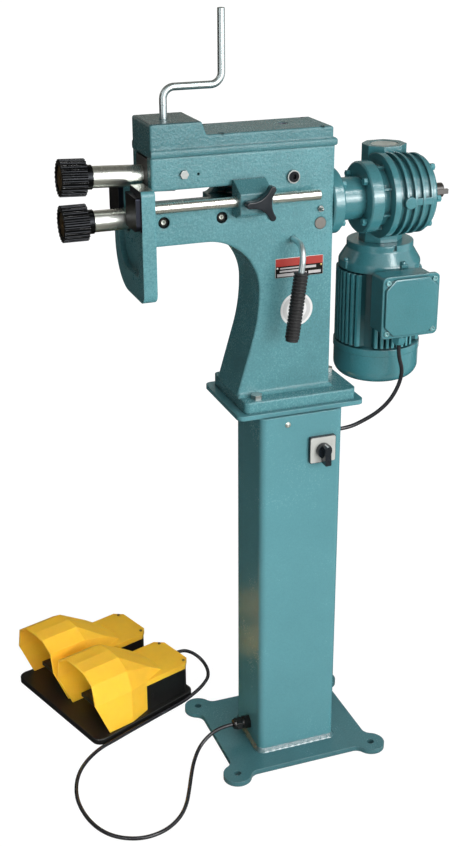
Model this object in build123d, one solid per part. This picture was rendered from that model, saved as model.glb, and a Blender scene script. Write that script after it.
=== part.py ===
from build123d import *
import math
import os

# Powered swage jenny on a pedestal, with a twin foot switch beside it. Millimetres, +Z up.
# The origin is the centre of the four floor bolts, on the floor. +X runs from the rolls to the
# gearbox and +Y runs to the back of the machine.

# Fits and clearances
FIT = 0.05            # radial gap of a fixed pin, bush or screw in its hole
RUN = 0.05            # radial gap of a turning or sliding shaft
SIDE_GAP = 0.5        # gap between sliding or swinging faces
TOUCH_GAP = 0.35      # gap where one moving piece pushes another

# Pedestal
BASE_LENGTH = 270.0
BASE_WIDTH = 230.0
BASE_THICK = 10.0
BOLT_SPACING_X = 268.0
BOLT_SPACING_Y = 222.0
BASE_HOLE_R = 6.5
EAR_R = 26.0
EAR_BLEND_R = 18.0
COLUMN_LENGTH = 150.0
COLUMN_WIDTH = 120.0
COLUMN_WALL = 5.0
COLUMN_CORNER_R = 11.0
COLUMN_HEIGHT = 673.0
COLUMN_Y = -10.0
WELD_LEG = 5.0
TOP_LENGTH = 230.0
TOP_WIDTH = 174.0
TOP_THICK = 8.0
TOP_CORNER_R = 12.0
TOP_X = 2.5
HEAD_Y = 23.5         # plane of the two shafts

# Body casting
FLANGE_LENGTH = 203.0
FLANGE_WIDTH = 159.0
FLANGE_THICK = 20.0
FLANGE_CORNER_R = 10.0
FLANGE_X = 3.5
AXIS_HEIGHT = 330.0   # lower shaft above the top plate
SHAFT_CENTRES = 56.0  # between the shafts when they lie parallel
BODY_WIDTH = 97.0
HOUSING_LEFT = -241.0
BODY_RIGHT = 67.0
HOUSING_WALL = 18.0
CHAMBER_WALL = 12.0
ARM_RISE = 21.0       # arm above the lower axis
ARM_DROP = 38.0       # arm below the lower axis
GAP_HEIGHT = 29.0     # throat gap between arm and upper housing
GAP_LENGTH = 131.0
ARM_BACK_R = 42.0     # round at the back of the arm's top
FRONT_SLOT = 141.0    # slot in the front wall, from the housing's left end
HOUSING_HEIGHT = 50.0
WAIST_X = -62.0
WAIST_RISE = 137.0    # waist corner above the flange
THROAT_R = 90.0
WAIST_R = 285.0
FOOT_LEFT = -102.0
FOOT_BLEND = 6.0
NOSE_R = 5.0
EDGE_R = 2.5
CHAMBER_LEFT = -52.0
CHAMBER_RIGHT = 30.0
LEG_WALL = 14.0
FOOT_BOLT_R = 5.0
FOOT_BOLT_HEAD = 7.5
BOLT_EDGE = 16.0      # foot bolts in from the flange's edge
FRONT_BOLT_X = -72.0
SIDE_BOLT_EDGE = 13.0
SIDE_BOLT_Y = 14.0    # side bolt behind the plane of the shafts

# Top cover
COVER_WALL = 10.0
COVER_HEIGHT = 31.0
COVER_INSET = 3.0
BEAD_HEIGHT = 13.0
BEAD_PROUD = 3.0
BEAD_R = 4.5
BLOCK_HEIGHT = 21.0
BLOCK_LENGTH = 83.0
BLOCK_SLOPE = 8.0
COVER_EDGE_R = 4.0
COVER_SCREW_R = 3.0
COVER_SCREW_HEAD_R = 5.0
COVER_SCREW_X = (-125.0, 45.0)
OIL_PORT = (-2.0, 28.0)
OIL_PORT_R = 8.0

# Crank, nut and thrust pad
CRANK_X = -204.0
CRANK_R = 6.0
CRANK_BEND_R = 18.0
CRANK_RISE = 47.0     # run above the cover's block
CRANK_THROW = 96.0
CRANK_LEG = 114.0
NUT_R = 13.0
NUT_LENGTH = 22.0
PAD_R = 11.0
PAD_NOSE_R = 5.0
PAD_NOSE_LENGTH = 4.0
PAD_FLOOR = 2.5       # pad below the screw's end

# Rocker that carries the upper shaft
PIVOT_X = -5.5
REST_TILT = 2.5       # degrees, rolls apart
ROCKER_LEFT = -242.0
ROCKER_FRONT_LENGTH = 46.0
ROCKER_STEP_X = -227.0
ROCKER_LOW = 20.0
ROCKER_FRONT_TOP = 30.0
BEAM_LOW = 33.5
BEAM_TOP = 45.0
BEAM_WIDTH = 58.0
REAR_BLOCK_LENGTH = 35.0
TRUNNION_R = 7.0
TRUNNION_DEPTH = 13.0
PIVOT_THREAD_R = 8.0
PIVOT_NUT_R = 10.5
PIVOT_NUT_THICK = 5.0
PIVOT_SOCKET_R = 4.5
SPRING_X = -100.0
SPRING_WIRE_R = 1.0
SPRING_TURNS = 7
SPRING_GAP = 2.0      # between a spring and the shaft or the wall beside it

# Shafts, rolls and gears
SHAFT_R = 17.0
JOURNAL_R = 12.5
BUSH_R = 16.0
ROLL_R = 29.0
ROLL_LENGTH = 40.0
ROLL_LEFT = -374.0
ROLL_FLUTES = 24
FLUTE_R = 2.7
HUB_R = 19.0
HUB_LENGTH = 10.5
CAP_R = 20.0
CAP_THICK = 4.0
CAP_RECESS = 6.0
CAP_SOCKET_R = 5.0
SHOULDER_GAP = 5.5    # shaft shoulder in front of the arm
TAIL_END = 291.0
GEAR_MODULE = 4.0
GEAR_TEETH = 14
GEAR_ADDENDUM = 2.8
GEAR_DEDENDUM = 5.2
GEAR_TOOTH = 4.9      # tooth thickness at the pitch circle
GEAR_LEFT = -45.0
GEAR_LENGTH = 20.0
BUSH_LENGTH = 40.0
SET_SCREW_X = (-222.0, -126.0)
SET_SCREW_R = 6.5
SET_SCREW_SINK = 3.0
SET_RECESS_R = 9.0
SET_RECESS_DEPTH = 6.0
SET_SOCKET_R = 3.2
KEY_WIDTH = 8.0
KEY_PROUD = 3.0
KEY_LEFT = 150.0
KEY_OVERHANG = 6.0

# Lever that shifts the lower shaft endways
LEVER_X = -4.0
LEVER_DROP = 46.0     # lever below the lower axis
LEVER_R = 5.0
LEVER_REACH = 75.0    # lever leg in front of the origin plane
LEVER_BEND_R = 28.0
LEVER_LENGTH = 155.0
LEVER_LEAN = 7.5      # degrees
GRIP_R = 12.0
GRIP_ROOT_R = 10.4
GRIP_LENGTH = 112.0
GRIP_RIBS = 20
GRIP_CAP = 3.0        # closed lower end of the grip
FORK_RADIUS = 24.0
FORK_HUB_R = 11.0
FORK_LENGTH = 16.0
FINGER_R = 4.6
FINGER_LENGTH = 8.0
FORK_ARM = 6.0
RING_R = 27.0
RING_LENGTH = 16.0
RING_SLOT = 10.0
RING_SLOT_DEPTH = 11.5
STOP_R = 20.0
STOP_LENGTH = 9.0

# Front face fittings
GUIDE_SCREW = (-188.0, 73.0)    # x, and height above the lower axis
GUIDE_SCREW_R = 4.0
OIL_HOLE = (-164.5, 72.0)
OIL_HOLE_R = 2.2
OIL_HOLE_DEPTH = 6.0
NIPPLE_X = 43.7
NIPPLE_R = 3.5
PLUG = (44.0, -24.0)
PLUG_R = 10.0
PLUG_DEPTH = 6.0
PLUG_PROUD = 1.5

# Edge gauge
GAUGE_RIGHT = -244.0
GAUGE_THICK = 23.0
GAUGE_HALF = 79.5
GAUGE_TOP = 58.0      # above the lower axis
GAUGE_BOTTOM = 121.0  # below the lower axis
GAUGE_BACK_R = 72.0
GAUGE_FRONT_R = 16.0
GAUGE_TOP_R = 8.0
GAUGE_SLOT = 40.0
GAUGE_WEB_DEPTH = 9.0
GAUGE_WEB_MARGIN = 25.0
GAUGE_WEB_TOP = 22.0  # top of the recess below the slot's axis
FACE_THICK = 8.0
FACE_LOW = 5.0        # facing plates below the lower axis
FACE_TOP = 48.0
FACE_INSET = 3.0
FACE_CORNER_R = 10.0
ROD_R = 8.5
ROD_OFFSET = 20.0     # rod in front of the body's face
ROD_RISE = 28.0       # rod above the lower axis
ROD_RIGHT = 34.0
ROD_GRIP = 18.0       # rod inside the gauge casting
BRACKET_LEFT = -109.0
BRACKET_LENGTH = 54.0
BRACKET_DEPTH = 38.0
BRACKET_TOP = 59.0
BRACKET_FRONT_TOP = 43.0
BRACKET_LOW = 2.0
BRACKET_FRONT_LOW = 10.0
BRACKET_LAND = 7.0
KNOB_X = -74.0
KNOB_REACH = 31.0
KNOB_TIP_R = 5.5
KNOB_WAIST_R = 11.0
KNOB_THICK = 13.0
KNOB_STANDOFF = 5.0
KNOB_SCREW_R = 5.0
KNOB_BOSS_R = 9.0

# Gearbox
ADAPTER_R = 55.0
ADAPTER_THICK = 21.0
ADAPTER_TUBE_R = 35.5
ADAPTER_TUBE = 45.0
ADAPTER_BORE_R = 20.0
ADAPTER_PCD_R = 45.0
BOX_FLANGE_R = 60.0
BOX_FLANGE_THICK = 24.0
BOX_PCD_R = 48.0
NECK_R = 52.0
NECK_LENGTH = 12.0
NECK_WEBS = 8
WEB_THICK = 4.0
BOX_R = 62.0
BOX_LENGTH = 72.0
BOX_WALL = 8.0
BOX_RIM_R = 71.0
BOX_RIM = 11.0
BOX_RIBS = 4
RIB_THICK = 4.5
BOX_COVER_R = 63.0
BOX_COVER_THICK = 11.0
COVER_PCD_R = 55.0
COVER_BOLTS = 6
BOX_BOLT_R = 3.5
BOX_BOLT_HEAD_R = 6.0
BOX_BOLT_HEAD = 7.0
BOSS_R = 10.0
BOSS_X = 28.0         # oil boss from the body's left rim
TIE_HEIGHT = 12.0     # bar that ties the ribs beside the boss
TIE_SINK = 4.0
WORM_CENTRES = 50.0
WORM_X = 204.0
TOWER_WIDTH = 72.0
TOWER_DEPTH = 68.0
TOWER_RISE = 77.0     # above the lower axis
TOWER_DROP = 89.0     # below the lower axis
TOWER_CHAMFER = 20.0
TOWER_CAP_R = 24.0
TOWER_CAP = 2.0
WORM_R = 12.2
WORM_LENGTH = 60.0
WORM_SHAFT_R = 9.5
WORM_BORE_R = 17.0
WHEEL_R = 37.3
WHEEL_THICK = 26.0
WHEEL_HUB_R = 19.0
BEARING_R = 32.0
BEARING_THICK = 8.0

# Motor
BELL_TOP_R = 58.5
BELL_RING = 12.0
BELL_HEIGHT = 46.0
BELL_R = 72.0
BELL_SKIRT = 12.0
BELL_WALL = 8.0
LUG_WIDTH = 13.0
LUG_LOW = 3.0         # screw lugs above the bell's foot
LUG_HIGH = 16.0
LUG_TURN = 9.0        # lugs turned toward the operator
BELL_SLOT = 6.0
BELL_SLOT_DEPTH = 4.0
MOTOR_CORE_R = 65.0
MOTOR_FIN_R = 75.5
MOTOR_LENGTH = 136.0
MOTOR_WALL = 6.0
SIDE_FINS = 10
END_FINS = 8
FIN_PITCH = 9.6
FIN_THICK = 4.8
FIN_GAP = 3.0         # fins short of the bell and the cowl
FIN_CLEAR = 1.0       # fins clear of the terminal box's neck
COWL_R = 76.0
COWL_HEIGHT = 66.0
COWL_ROUND = 24.0
COWL_WALL = 2.0
COWL_RIM = 12.0       # height of the cowl's raised rim
COWL_RIM_PROUD = 1.2
COWL_HOLES = 12
COWL_HOLE_R = 4.5
STATOR_BORE_R = 44.5
STATOR_LENGTH = 80.0
ROTOR_R = 44.0
FAN_R = 60.0
FAN_THICK = 14.0
FAN_BLADES = 6
FAN_BLADE = 4.0
TBOX_WIDTH = 96.0
TBOX_HEIGHT = 98.0
TBOX_DEPTH = 60.0     # box front in front of the motor's core
TBOX_BODY = 47.0      # depth of the wide part
TBOX_WALL = 4.0
TBOX_NECK = 52.0      # width of the neck that joins the box to the frame
TBOX_STEP = 13.0      # neck in from the box's top and bottom
TBOX_DROP = 85.0      # lid centre below the motor's top ring
TBOX_X = -4.0         # lid centre from the motor's axis
LID_WIDTH = 106.0
LID_HEIGHT = 108.0
LID_THICK = 6.0
LID_PANEL = 3.5
LID_CORNER_R = 9.0
LID_MARGIN = 7.0
LID_CHAMFER = 19.0
LID_SCREW_INSET = 9.5
LID_SCREW_R = 4.5
LID_SCREW_HEAD = 3.0

# Rotary switch on the column
SWITCH_EDGE = 39.5    # switch's middle from the column's right side
SWITCH_DROP = 67.0    # below the column's top
SWITCH_SIZE = 48.0
SWITCH_BASE = 6.0
SWITCH_FACE = 1.5
SWITCH_FACE_INSET = 1.0
SWITCH_BARREL_R = 10.0
SWITCH_DEPTH = 42.0
SWITCH_SPINDLE_R = 5.0
SWITCH_KNOB_R = 13.0
SWITCH_KNOB = 9.0
SWITCH_BAR = 13.0
SWITCH_BAR_WIDTH = 11.0
SWITCH_BAR_REACH = 22.0
SWITCH_BAR_TAIL = 13.0
SWITCH_REST = -88.0   # degrees, where the pointer stands

# Foot switch, in its own frame: u to its back, v to its left
FOOT_X = -349.1
FOOT_Y = 63.8
FOOT_YAW = 19.4
FOOT_DEPTH = 246.0
FOOT_WIDTH = 296.0    # along its front
FOOT_BACK_WIDTH = 256.0
FOOT_THICK = 12.0
FOOT_CORNER_R = 18.0
UNIT_WIDTH = 132.0
UNIT_GAP = 11.5       # between the two guards
GUARD_FRONT = 4.0
GUARD_FOOT_U = 34.0   # front of the guard's walls on the base
GUARD_SHOULDER = 84.0
GUARD_HIP = (58.0, 125.5)       # half width, and height
GUARD_CROWN = (30.0, 142.5)
GUARD_RIDGE = 144.5
GUARD_CREST_U = 83.5
GUARD_WAIST_U = 88.0  # where the side walls turn inward
GUARD_SIDE_U = 133.0  # where they meet the housing
GUARD_WALL = 3.5
LID_INSET = 14.0      # lid's side in from the guard's side
LID_LOW = 66.5
LID_TOP = 78.0
LID_SLOPE_U = 184.0   # foot of the slope behind the guard
LID_SLOPE_HALF = 43.0
LID_BACK_INSET = 3.0
LID_CUT = 15.5        # cut corners at the lid's back
HOUSING_INSET = 1.5   # housing in from the lid's edge
FOOT_HOUSING_WALL = 4.0
TREADLE_U = 42.0
TREADLE_MARGIN = 4.0  # treadle in from the housing's inside
TREADLE_THICK = 8.0
TREADLE_Z = 38.0
TREADLE_PIN_U = 146.0
TREADLE_PIN_R = 4.0
TREADLE_RIBS = 7
TREADLE_RIB = 2.0
FOOT_GLAND_SIDE = 26.0          # gland beside the near housing's middle
FOOT_GLAND_Z = 50.0

# Cables and glands
PEDAL_CABLE_R = 3.5
MOTOR_CABLE_R = 3.5
GLAND_HEX_R = 13.5
GLAND_DOME_R = 10.0
COLUMN_GLAND = 33.0
COLUMN_GLAND_Y = -14.0
COLUMN_GLAND_Z = 44.0
ENTRY_GLAND = 20.0
ENTRY_Y = -10.0
ENTRY_DROP = 65.0     # motor cable's entry below the column's top
FOOT_GLAND = 16.0
FOOT_GLAND_SIZE = 0.74           # of the other glands' width
MOTOR_GLAND = 26.0
MOTOR_GLAND_X = -6.0
MOTOR_GLAND_Y = 18.0  # behind the terminal box's front
GLAND_STUB = 8.0
CABLE_SEAT = 3.0      # solid end of a gland that its cable meets face to face
ARC_SHARE = 0.45      # share of the shorter run that an arc of a cable takes

# Heights and planes worked out from the sizes above
COLUMN_TOP = BASE_THICK + COLUMN_HEIGHT
TOP_Z = COLUMN_TOP + TOP_THICK
FLANGE_TOP = TOP_Z + FLANGE_THICK
AXIS_Z = TOP_Z + AXIS_HEIGHT
PIVOT_Z = AXIS_Z + SHAFT_CENTRES
ARM_TOP = AXIS_Z + ARM_RISE
ARM_BOTTOM = AXIS_Z - ARM_DROP
HOUSING_BOTTOM = ARM_TOP + GAP_HEIGHT
HOUSING_TOP = HOUSING_BOTTOM + HOUSING_HEIGHT
FRONT = HEAD_Y - BODY_WIDTH / 2
BACK = HEAD_Y + BODY_WIDTH / 2
COVER_TOP = HOUSING_TOP + COVER_HEIGHT
COVER_RIGHT = BODY_RIGHT - COVER_INSET
CEILING = COVER_TOP - COVER_WALL
BLOCK_TOP = COVER_TOP + BLOCK_HEIGHT
LEVER_Z = AXIS_Z - LEVER_DROP
ROD_Y = FRONT - ROD_OFFSET
ROD_Z = AXIS_Z + ROD_RISE
GAUGE_LEFT = GAUGE_RIGHT - GAUGE_THICK
ROLL_RIGHT = ROLL_LEFT + ROLL_LENGTH
HUB_RIGHT = ROLL_RIGHT + HUB_LENGTH
CAP_LEFT = ROLL_LEFT + CAP_RECESS - CAP_THICK
SEAT_LEFT = ROLL_LEFT + CAP_RECESS
SHOULDER_X = HOUSING_LEFT - SHOULDER_GAP
GEAR_RIGHT = GEAR_LEFT + GEAR_LENGTH
RING_LEFT = LEVER_X - RING_LENGTH / 2
RING_RIGHT = LEVER_X + RING_LENGTH / 2
ADAPTER_RIGHT = BODY_RIGHT + ADAPTER_THICK
BOX_FLANGE_LEFT = ADAPTER_RIGHT + ADAPTER_TUBE
NECK_LEFT = BOX_FLANGE_LEFT + BOX_FLANGE_THICK
BOX_LEFT = NECK_LEFT + NECK_LENGTH
BOX_RIGHT = BOX_LEFT + BOX_LENGTH
BOX_COVER_RIGHT = BOX_RIGHT + BOX_COVER_THICK
WORM_Y = HEAD_Y + WORM_CENTRES
TOWER_TOP = AXIS_Z + TOWER_RISE
MOTOR_TOP = AXIS_Z - TOWER_DROP
BELL_LOW = MOTOR_TOP - BELL_HEIGHT
MOTOR_LOW = BELL_LOW - MOTOR_LENGTH
COWL_LOW = MOTOR_LOW - COWL_HEIGHT
TBOX_FRONT = WORM_Y - MOTOR_CORE_R - TBOX_DEPTH
TBOX_Z = MOTOR_TOP - TBOX_DROP
TBOX_CENTRE = WORM_X + TBOX_X
COLUMN_FRONT = COLUMN_Y - COLUMN_WIDTH / 2
SWITCH_X = COLUMN_LENGTH / 2 - SWITCH_EDGE
SWITCH_Z = COLUMN_TOP - SWITCH_DROP
ENTRY_Z = COLUMN_TOP - ENTRY_DROP
SPRING_INNER = JOURNAL_R + SPRING_GAP
SPRING_OUTER = BODY_WIDTH / 2 - HOUSING_WALL - SPRING_GAP
SPRING_SIDE = (SPRING_INNER + SPRING_OUTER) / 2
SPRING_R = (SPRING_OUTER - SPRING_INNER) / 2 - SPRING_WIRE_R
PAD_TOP = CEILING - SIDE_GAP
PITCH_R = GEAR_MODULE * GEAR_TEETH / 2


def outline(points):
    """Closed face through the corners (a, b, radius), each rounded to its radius."""
    corners = [Vector(a, b) for a, b, radius in points]
    stretches = []
    for i, (a, b, radius) in enumerate(points):
        back = (corners[i - 1] - corners[i]).normalized()
        ahead = (corners[(i + 1) % len(corners)] - corners[i]).normalized()
        half = math.radians(back.get_angle(ahead)) / 2
        cut = radius / math.tan(half)
        middle = (back + ahead).normalized() * (radius / math.sin(half) - radius)
        stretches.append((corners[i] + back * cut, corners[i] + middle, corners[i] + ahead * cut))
    edges = []
    for i, (start, middle, end) in enumerate(stretches):
        if points[i][2]:
            edges.append(ThreePointArc(start, middle, end))
        following = stretches[(i + 1) % len(stretches)][0]
        if (following - end).length > 1e-6:
            edges.append(Line(end, following))
    return make_face(edges)


def along_x(face, left, right):
    """Prism from a face drawn in (y, z)."""
    return extrude(Plane((left, 0, 0), x_dir=(0, 1, 0), z_dir=(1, 0, 0)) * face, right - left)


def along_y(face, front, back):
    """Prism from a face drawn in (x, z)."""
    return extrude(Plane((0, back, 0), x_dir=(1, 0, 0), z_dir=(0, -1, 0)) * face, back - front)


def along_z(face, low, high):
    """Prism from a face drawn in (x, y)."""
    return extrude(Pos(0, 0, low) * face, high - low)


def block(left, right, front, back, low, high):
    """Box between six planes."""
    centre = Pos((left + right) / 2, (front + back) / 2, (low + high) / 2)
    return centre * Box(right - left, back - front, high - low)


def rod_x(radius, left, right, y=HEAD_Y, z=AXIS_Z):
    return Pos((left + right) / 2, y, z) * Rot(0, 90, 0) * Cylinder(radius, right - left)


def rod_y(radius, front, back, x, z):
    return Pos(x, (front + back) / 2, z) * Rot(90, 0, 0) * Cylinder(radius, back - front)


def rod_z(radius, low, high, x, y):
    return Pos(x, y, (low + high) / 2) * Cylinder(radius, high - low)


def hex_y(radius, front, back, x, z):
    """Hexagonal prism along Y, for bolt heads and nuts."""
    return along_y(Pos(x, z) * RegularPolygon(radius, 6), front, back)


def around(count, radius, start=0.0):
    """Points evenly spread on a circle, as pairs."""
    angles = [start + 2 * math.pi * i / count for i in range(count)]
    return [(radius * math.cos(a), radius * math.sin(a)) for a in angles]


def tilted(shape):
    """Turns a piece built with level shafts to the rocker's rest position."""
    return shape.rotate(Axis((PIVOT_X, HEAD_Y, PIVOT_Z), (0, 1, 0)), REST_TILT)


def in_foot_frame(shape):
    """Moves a piece of the foot switch from its own frame to the floor beside the pedestal."""
    return Pos(FOOT_X, FOOT_Y, 0) * Rot(0, 0, FOOT_YAW) * shape


def foot_point(u, v, z):
    """Floor position of a point of the foot switch."""
    yaw = math.radians(FOOT_YAW)
    x = FOOT_X + u * math.cos(yaw) - v * math.sin(yaw)
    y = FOOT_Y + u * math.sin(yaw) + v * math.cos(yaw)
    return (x, y, z)


def bent_rod(points, radius, bend):
    """Round bar along straight runs with equal bends."""
    path = FilletPolyline(*points, radius=bend)
    return sweep(Plane(origin=path @ 0, z_dir=path % 0) * Circle(radius), path=path)


def cable(name, points, radius):
    """Round cable whose arcs are as large as their two runs allow."""
    corners = [Vector(*p) for p in points]
    radii = []
    for i in range(1, len(corners) - 1):
        back = corners[i - 1] - corners[i]
        ahead = corners[i + 1] - corners[i]
        turn = math.radians(180 - back.get_angle(ahead))
        shorter = min(back.length, ahead.length)
        radii.append(ARC_SHARE * shorter / math.tan(turn / 2))
    path = FilletPolyline(*points, radius=radii)
    tube = sweep(Plane(origin=path @ 0, z_dir=path % 0) * Circle(radius), path=path)
    share = tube.volume / (math.pi * radius ** 2 * path.length)
    print(name, "length", round(path.length), "volume share", round(share, 4))
    print(name, "least radius", round(min(radii)))
    print(name, "radii", [round(r) for r in radii])
    return tube


def base_plate():
    plate = Rectangle(BASE_LENGTH, BASE_WIDTH)
    holes = []
    for sx in (-1, 1):
        for sy in (-1, 1):
            at = Pos(sx * BOLT_SPACING_X / 2, sy * BOLT_SPACING_Y / 2)
            inward = math.degrees(math.atan2(-sy, -sx))
            plate += at * Rot(0, 0, inward) * Circle(EAR_R)
            holes.append(at * Circle(BASE_HOLE_R))
    inner = [v for v in plate.vertices() if v.Z == 0]
    plate = fillet(inner, EAR_BLEND_R)
    return along_z(plate - holes, 0, BASE_THICK)


def pedestal_column():
    outer = Pos(0, COLUMN_Y) * RectangleRounded(COLUMN_LENGTH, COLUMN_WIDTH, COLUMN_CORNER_R)
    bore_r = COLUMN_CORNER_R - COLUMN_WALL
    inner = RectangleRounded(COLUMN_LENGTH - 2 * COLUMN_WALL, COLUMN_WIDTH - 2 * COLUMN_WALL, bore_r)
    bead_length = COLUMN_LENGTH + 2 * WELD_LEG
    bead_width = COLUMN_WIDTH + 2 * WELD_LEG
    bead = RectangleRounded(bead_length, bead_width, COLUMN_CORNER_R + WELD_LEG)
    column = along_z(outer, BASE_THICK, COLUMN_TOP)
    column += extrude(Pos(0, COLUMN_Y, BASE_THICK) * bead, WELD_LEG, taper=45)
    column -= along_z(Pos(0, COLUMN_Y) * inner, BASE_THICK, COLUMN_TOP)
    half = COLUMN_LENGTH / 2
    inside = COLUMN_FRONT + 2 * COLUMN_WALL
    column -= rod_y(SWITCH_BARREL_R + FIT, COLUMN_FRONT - 1, inside, SWITCH_X, SWITCH_Z)
    column -= rod_x(GLAND_STUB + FIT, -half - 1, -half + 2 * COLUMN_WALL, COLUMN_GLAND_Y, COLUMN_GLAND_Z)
    column -= rod_x(GLAND_STUB + FIT, half - 2 * COLUMN_WALL, half + 1, ENTRY_Y, ENTRY_Z)
    return column


def foot_bolt_points():
    """Three bolts that hold the casting's flange to the top plate."""
    side_x = FLANGE_X + FLANGE_LENGTH / 2 - SIDE_BOLT_EDGE
    edge_y = FLANGE_WIDTH / 2 - BOLT_EDGE
    return [(FRONT_BOLT_X, HEAD_Y - edge_y), (FRONT_BOLT_X, HEAD_Y + edge_y), (side_x, HEAD_Y + SIDE_BOLT_Y)]


def top_plate():
    plate = Pos(TOP_X, HEAD_Y) * RectangleRounded(TOP_LENGTH, TOP_WIDTH, TOP_CORNER_R)
    plate = along_z(plate, COLUMN_TOP, TOP_Z)
    for x, y in foot_bolt_points():
        plate -= rod_z(FOOT_BOLT_R + FIT, COLUMN_TOP, TOP_Z, x, y)
    return plate


def foot_bolts():
    bolts = []
    for x, y in foot_bolt_points():
        hexagon = Pos(x, y) * RegularPolygon(2 * FOOT_BOLT_R, 6)
        head = along_z(hexagon, FLANGE_TOP, FLANGE_TOP + FOOT_BOLT_HEAD)
        bolts.append(head + rod_z(FOOT_BOLT_R, COLUMN_TOP, FLANGE_TOP, x, y))
    return bolts


def casting_outline():
    return outline([
        (HOUSING_LEFT, HOUSING_TOP, 0),
        (HOUSING_LEFT, ARM_BOTTOM, NOSE_R),
        (WAIST_X, ARM_BOTTOM, THROAT_R),
        (WAIST_X, FLANGE_TOP + WAIST_RISE, WAIST_R),
        (FOOT_LEFT, FLANGE_TOP, 0),
        (BODY_RIGHT, FLANGE_TOP, 0),
        (BODY_RIGHT, HOUSING_TOP, 0),
    ])


def body_casting():
    body = along_y(casting_outline(), FRONT, BACK)
    rims = [e for e in body.edges() if abs(abs(e.center().Y - HEAD_Y) - BODY_WIDTH / 2) < 1e-6]
    rims = [e for e in rims if abs(e.center().Z - FLANGE_TOP) > 1e-6]
    rims = [e for e in rims if abs(e.center().Z - HOUSING_TOP) > 1e-6]
    body = fillet(rims, EDGE_R)
    foot = RectangleRounded(FLANGE_LENGTH, FLANGE_WIDTH, FLANGE_CORNER_R)
    body += along_z(Pos(FLANGE_X, HEAD_Y) * foot, TOP_Z, FLANGE_TOP)
    foot_length = BODY_RIGHT - FOOT_LEFT
    skirt = Rectangle(foot_length + FOOT_BLEND, BODY_WIDTH + 2 * FOOT_BLEND)
    skirt_x = (FOOT_LEFT + BODY_RIGHT + FOOT_BLEND) / 2
    skirt = extrude(Pos(skirt_x, HEAD_Y, FLANGE_TOP) * skirt, FOOT_BLEND, taper=45)
    body += skirt & block(FOOT_LEFT, BODY_RIGHT + FOOT_BLEND, FRONT - FOOT_BLEND, BACK + FOOT_BLEND,
                          FLANGE_TOP, FLANGE_TOP + FOOT_BLEND)
    body -= casting_hollows()
    return body - casting_holes()


def casting_hollows():
    """Throat gap, the arm's rounded back, guide channel, gear chamber and the cored leg."""
    gap_end = HOUSING_LEFT + GAP_LENGTH - GAP_HEIGHT / 2
    gap = block(HOUSING_LEFT - 1, gap_end, FRONT - 1, BACK + 1, ARM_TOP, HOUSING_BOTTOM)
    gap += rod_y(GAP_HEIGHT / 2, FRONT - 1, BACK + 1, gap_end, ARM_TOP + GAP_HEIGHT / 2)
    crown = block(HOUSING_LEFT - 1, gap_end, BACK - ARM_BACK_R, BACK + 1, ARM_TOP - ARM_BACK_R, ARM_TOP + 1)
    crown -= rod_x(ARM_BACK_R, HOUSING_LEFT - 1, gap_end, BACK - ARM_BACK_R, ARM_TOP - ARM_BACK_R)
    gap += block(HOUSING_LEFT - 1, HOUSING_LEFT + FRONT_SLOT, FRONT - 1, FRONT + HOUSING_WALL + 1,
                 ARM_TOP, HOUSING_BOTTOM)
    channel = block(HOUSING_LEFT - 1, CHAMBER_LEFT, FRONT + HOUSING_WALL, BACK - HOUSING_WALL,
                    ARM_TOP, HOUSING_TOP)
    inner_front = FRONT + CHAMBER_WALL
    inner_back = BACK - CHAMBER_WALL
    chamber = block(CHAMBER_LEFT, CHAMBER_RIGHT, inner_front, inner_back, ARM_BOTTOM, HOUSING_TOP)
    leg = block(WAIST_X + LEG_WALL, BODY_RIGHT - LEG_WALL, inner_front, inner_back, TOP_Z, ARM_BOTTOM)
    return [gap, crown, channel, chamber, leg]


def casting_holes():
    """Bores and screw holes of the casting."""
    holes = [
        rod_x(BUSH_R + FIT, HOUSING_LEFT - 1, CHAMBER_LEFT + 1),
        rod_x(BUSH_R + FIT, CHAMBER_RIGHT - 1, BODY_RIGHT + 1),
        rod_y(PIVOT_THREAD_R + FIT, FRONT - 1, BACK + 1, PIVOT_X, PIVOT_Z),
        rod_y(LEVER_R + RUN, FRONT - 1, BACK - CHAMBER_WALL / 2, LEVER_X, LEVER_Z),
        rod_y(NIPPLE_R + FIT, FRONT - 1, HEAD_Y - BUSH_R, NIPPLE_X, AXIS_Z),
        rod_y(PLUG_R + FIT, FRONT - 1, FRONT + PLUG_DEPTH, PLUG[0], AXIS_Z + PLUG[1]),
        rod_y(GUIDE_SCREW_R + FIT, FRONT - 1, FRONT + HOUSING_WALL, GUIDE_SCREW[0], AXIS_Z + GUIDE_SCREW[1]),
        rod_y(OIL_HOLE_R, FRONT - 1, FRONT + OIL_HOLE_DEPTH, OIL_HOLE[0], AXIS_Z + OIL_HOLE[1]),
    ]
    holes += [rod_y(SET_SCREW_R + FIT, FRONT - 1, HEAD_Y - BUSH_R, x, AXIS_Z) for x in SET_SCREW_X]
    holes += [rod_y(SET_RECESS_R, FRONT - 1, FRONT + SET_RECESS_DEPTH, x, AXIS_Z) for x in SET_SCREW_X]
    holes += [rod_z(FOOT_BOLT_R + FIT, TOP_Z, FLANGE_TOP, x, y) for x, y in foot_bolt_points()]
    for x, y in cover_screw_points():
        holes.append(rod_z(COVER_SCREW_R + FIT, HOUSING_TOP - COVER_WALL, HOUSING_TOP + 1, x, y))
    for y, z in around(4, ADAPTER_PCD_R, math.pi / 4):
        bolt_end = BODY_RIGHT - 2 * BOX_BOLT_HEAD
        holes.append(rod_x(BOX_BOLT_R + FIT, bolt_end, BODY_RIGHT + 1, HEAD_Y + y, AXIS_Z + z))
    return holes


def cover_screw_points():
    inset = CHAMBER_WALL / 2
    return [(x, y) for x in COVER_SCREW_X for y in (FRONT + inset, BACK - inset)]


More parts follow.
